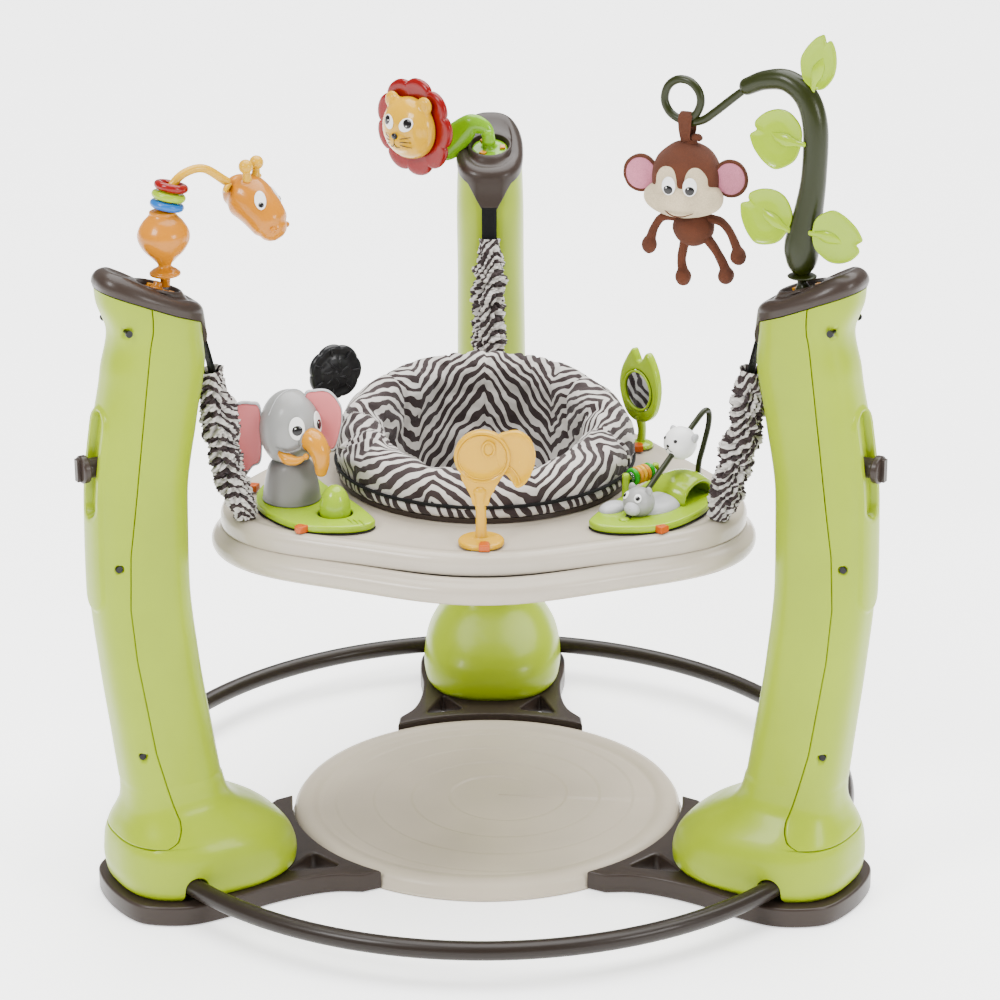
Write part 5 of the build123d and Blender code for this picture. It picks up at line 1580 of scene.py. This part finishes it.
# ---------- vine on the right tower ----------
vine = [
    tube("vine_trunk", [(410, 0, 756), (409.5, 0, 764), (409, 0, 776), (409, 0, 792), (416, 0, 830),
        (421, 0, 870), (421, 0, 922), (410, 0, 954), (387, 0, 970), (360, 0, 968), (337, 0, 958)],
        [8, 14.5, 18.3, 19.3, 16, 14, 14, 13.4, 12.2, 10.8, 9.6], M_VINE, RIGHT_TOWER, sides=36,
        count=140),
    tube("vine_neck", [(410, 0, 738), (410, 0, 746), (410, 0, 757)], [7.5, 5.2, 6.5], M_VINE, RIGHT_TOWER,
        sides=24, count=16),
    lathe("vine_collar", [(5, 751), (14, 752), (16.5, 753.6), (14, 755.2), (7, 756.5)], M_VINE,
        RIGHT_TOWER @ Matrix.Translation((410, 0, 0)), 64, 30),
]
ride(join("vine_skin", vine + socket_cup("vine_foot", RIGHT_TOWER, (M_VINE, M_ORANGE))), ROOT,
    ["vine_stem"])
loop = [(340, 0, 959), (318, 0, 941), (299, 0, 925), (284, 0, 914), (268, 0, 910), (254, 0, 912),
    (242, 0, 919), (236, 0, 932), (240, 0, 947), (252, 0, 956), (267, 0, 955.5), (278, 0, 946),
    (281, 0, 934), (277, 0, 922), (270, 0, 914)]
hook = tube("hook_skin", loop, [4.2] + [4.7] * 14, M_VINE, RIGHT_TOWER, sides=20, count=140)
ride(hook, ROOT, ["vine_hook"])


def leaf_blade(name, at, right_dir, up_dir, width, height):
    """Moulded leaf with a two-tipped end, a raised rim and a midrib."""
    w, h = width / 2, height
    line = closed([(0, 0), (w * 0.55, h * 0.05), (w * 0.94, h * 0.28), (w, h * 0.52), (w * 0.82, h * 0.76),
        (w * 0.5, h * 0.93), (w * 0.3, h * 0.93), (w * 0.2, h * 0.89), (w * 0.02, h), (-w * 0.14, h * 0.99),
        (-w * 0.5, h * 0.87), (-w * 0.86, h * 0.64), (-w * 0.98, h * 0.4), (-w * 0.6, h * 0.09)], 140)
    x, y = Vector(right_dir).normalized(), Vector(up_dir).normalized()
    nrm = x.cross(y)
    m = Matrix((x, y, nrm)).transposed().to_4x4()
    m.translation = Vector(at)
    rings = [(0.05, -0.9), (0.7, -1.2), (0.95, -1.2), (1, 0), (0.985, 1.1), (0.95, 1.5), (0.92, 1.2),
        (0.88, 0.5), (0.5, 0.7), (0.05, 0.8)]
    parts = [disc(name, line, rings, M_LEAF, m)]
    parts.append(tube(name + "_rib", [(0, -3, 0.4), (0, h * 0.1, 1.0), (1, h * 0.28, 1.0),
        (3, h * 0.46, 0.8), (w * 0.2, h * 0.6, 0.5)], [3.0, 3.6, 7.0, 5.5, 0.8], M_LEAF, m, sides=20,
        count=40, flat=0.42))
    return parts


blades = leaf_blade("leaf_top", (418, -3, 966), (0.93, 0, -0.2), (0.2, 0, 0.97), 43, 61)
blades += leaf_blade("leaf_mid", (411, -13, 906), (0.05, 0.15, 1), (-1, 0, 0.05), 66, 62)
blades += leaf_blade("leaf_low", (398, -13, 808), (0.35, 0.15, 0.9), (-0.93, 0, 0.36), 64, 62)
blades += leaf_blade("leaf_out", (427, -13, 808), (0, 0.1, -1), (1, 0, 0), 62, 60)
for b in blades:
    b.data.transform(scaled(RIGHT_TOWER))
ride(join("vine_leaf_skin", blades), ROOT, ["vine_leaves"])

# ---------- plush monkey ----------
MONKEY_AT = RIGHT_TOWER @ Matrix.Translation((265, 0, 843)) @ turn(-75)


def uneven(p, scale, key):
    """Noise at a point, its waves set by scale."""
    return mnoise.noise(Vector((p[0] * scale + key, p[1] * scale, p[2] * scale)))


def soft(obj, amount, scale, key=0.0):
    """Small hand-made unevenness of stuffed cloth."""
    v = coords(obj)
    push = np.array([uneven(p, scale, key) for p in v]) * amount
    set_coords(obj, v + point_normals(obj) * push[:, None])
    return obj


brown = [ball("m_head", (0, 0, 4), (36, 40, 41), M_PLUSH, seg=48),
    ball("m_jaw", (3, 0, -16), (31, 35, 26), M_PLUSH, seg=48)]
brown = soft(fuse("monkey_head", brown, 2.2, 8, M_PLUSH), 1.4, 0.05)
cream = [ball("m_muzzle", (13, 0, -16), (29, 46, 23), M_CREAM, seg=48)]
for s in (-1, 1):
    cream.append(ball(f"m_brow{s}", (22, 12.5 * s, 5), (15.5, 17.0, 20), M_CREAM, seg=36))
cream = soft(fuse("monkey_face", cream, 2.0, 10, M_CREAM), 0.9, 0.06, 7)
torso = [ball("m_body", (-2, 8, -54), (18, 24, 22), M_PLUSH, seg=40)]
torso = soft(fuse("monkey_body", torso, 2.2, 4, M_PLUSH), 1.0, 0.07, 3)
limbs = []
for line, wide in (([(0, -8, -42), (1, -27, -44), (2, -36, -56), (3, -39, -68)], 5.0),
    ([(0, 26, -42), (1, 42, -46), (2, 53, -60), (3, 59, -74)], 5.0),
    ([(0, 0, -66), (1, -3, -80), (2, -4, -94), (3, -2, -104)], 5.4),
    ([(0, 24, -64), (1, 33, -76), (2, 41, -88), (3, 46, -98)], 5.4)):
    limbs.append(tube("m_limb", line, [wide * 1.15, wide, wide, wide * 1.1], M_PLUSH, sides=24, count=40))
for spot, size in (((4, -41, -76), (8, 9, 11)), ((4, 61, -82), (8, 9.5, 11)),
    ((6, -1, -110), (10, 9.5, 10.5)), ((6, 48, -105), (10, 9.5, 10.5))):
    limbs.append(ball("m_paw", spot, size, M_PLUSH, seg=28))
limbs = soft(fuse("monkey_limbs", limbs, 1.8, 5, M_PLUSH), 0.7, 0.09, 5)
pieces = [brown, cream, torso, limbs]
# a plate made lying down stands up and looks ahead, along +X
FACING = Matrix(((0, 0, 1, 0), (1, 0, 0, 0), (0, 1, 0, 0), (0, 0, 0, 1)))
for s in (-1, 1):
    ear_at = Matrix.Translation((6, 51 * s, 7)) @ FACING
    pieces.append(soft(disc(f"m_ear{s}", closed(oval(14, 20.5, 22), 60),
        [(0.1, -4.2), (0.7, -4.0), (0.93, -2.4), (1.0, 0), (0.95, 2.2), (0.86, 2.8), (0.78, 1.6),
        (0.1, 1.0)], M_PLUSH, ear_at), 0.6, 0.1, s))
    pieces.append(soft(disc(f"m_ear_in{s}", closed(oval(14, 17, 18.5), 60),
        [(0.1, 0.5), (0.95, 1.0), (1.0, 1.9), (0.93, 2.5), (0.6, 2.2), (0.05, 1.6)], M_EARPINK, ear_at),
        0.4, 0.1, s))
    pieces += eye(f"m_eye{s}", (38.0, 12 * s, 2.5), (0.95, 0.14 * s, 0.06), (8.0, 10.5), 5.4,
        Matrix.Identity(4), 0.35)
pieces.append(tube("m_smile", [(34.0, -20, -24), (40.2, -8, -30), (40.6, 4, -31), (37.5, 16, -27.5)],
    [0.5, 0.8, 0.8, 0.4], M_PLUSH, sides=8, count=30))
strap = tube("m_loop", [(0, 0, 34), (6, 0, 50), (7.2, 0, 62), (6.4, 0, 72), (0, 0, 77.6), (-6.4, 0, 72),
    (-7.2, 0, 62), (-6, 0, 50), (0, 0, 34)], [5.5, 6.5, 8, 8.5, 8.5, 8.5, 8, 6.5, 5.5], M_PLUSH, sides=20,
    count=90, flat=0.13, up=(1, 0, 0), rounded=False)
strap.data.transform(turn(-15))
pieces.append(soft(strap, 0.5, 0.12, 2))
for k, (y, z) in enumerate(((-5, 40), (5, 44), (11, 50))):
    pieces.append(soft(ball(f"m_knot{k}", (2, y, z), (5, 7, 4.5), M_PLUSH, seg=24), 0.8, 0.15, k))
monkey = join("monkey_skin", pieces)
monkey.data.transform(scaled(MONKEY_AT))
ride(monkey, "hanging_monkey", ["plush_monkey"])


# ---------- floor, light and camera ----------
def soft_light(name, at, target, size, power):
    """Area light aimed at a point."""
    data = bpy.data.lights.new(name, "AREA")
    data.shape = "RECTANGLE"
    data.size, data.size_y = size
    data.energy = power
    lamp = new_object(name, data)
    lamp.location = at
    lamp.rotation_euler = (Vector(target) - Vector(at)).to_track_quat("-Z", "Y").to_euler()


floor_mat = Nodes("floor_white")
floor_tone = floor_mat.noise(floor_mat.place(), 3.0, 2.0).outputs["Fac"]
floor_mat.link(floor_mat.ramp(floor_tone, [(0.3, (0.95, 0.95, 0.95)), (0.7, (0.97, 0.97, 0.97))]),
    floor_mat.shader.inputs["Base Color"])
floor_mat.set(Roughness=0.6, Emission_Color=(1, 1, 1, 1), Emission_Strength=0.9)
FLOOR_REACH, FLOOR_Z = 30000, -0.2
corners = [(x * FLOOR_REACH, y * FLOOR_REACH, FLOOR_Z) for x, y in ((-1, -1), (1, -1), (1, 1), (-1, 1))]
floor = add("floor", corners, [(0, 1, 2, 3)], floor_mat.mat)

world = bpy.data.worlds.new("studio")
bpy.context.scene.world = world
world.use_nodes = True
world.node_tree.nodes["Background"].inputs[0].default_value = (1, 1, 1, 1)
world.node_tree.nodes["Background"].inputs[1].default_value = 0.55
soft_light("key", (-2.4, -2.4, 3.2), (0, 0, 0.45), (1.3, 1.3), 170)
soft_light("fill", (3.0, -2.6, 1.9), (0, 0, 0.5), (1.2, 1.2), 90)
sky_data = bpy.data.lights.new("sky", "SUN")
sky_data.energy, sky_data.angle = 9.5, math.radians(70)
sun = new_object("sky", sky_data)
sun.rotation_euler = (math.radians(-12), math.radians(8), 0)

tip, roll, yaw = math.radians(20.56), math.radians(-0.30), math.radians(0.94)
right, up, look = Vector((1, 0, 0)), Vector((0, sin(tip), cos(tip))), Vector((0, cos(tip), -sin(tip)))
right, up = right * cos(roll) + up * sin(roll), up * cos(roll) - right * sin(roll)
pose = Matrix((right, up, -look)).transposed().to_4x4()
pose.translation = Vector((0.0176, -3.7574, 1.8223))
camera_data = bpy.data.cameras.new("view")
camera_data.lens, camera_data.sensor_width = 120.8, 36.0
camera = new_object("view", camera_data)
camera.matrix_world = Matrix.Rotation(yaw, 4, "Z") @ pose
bpy.context.scene.camera = camera
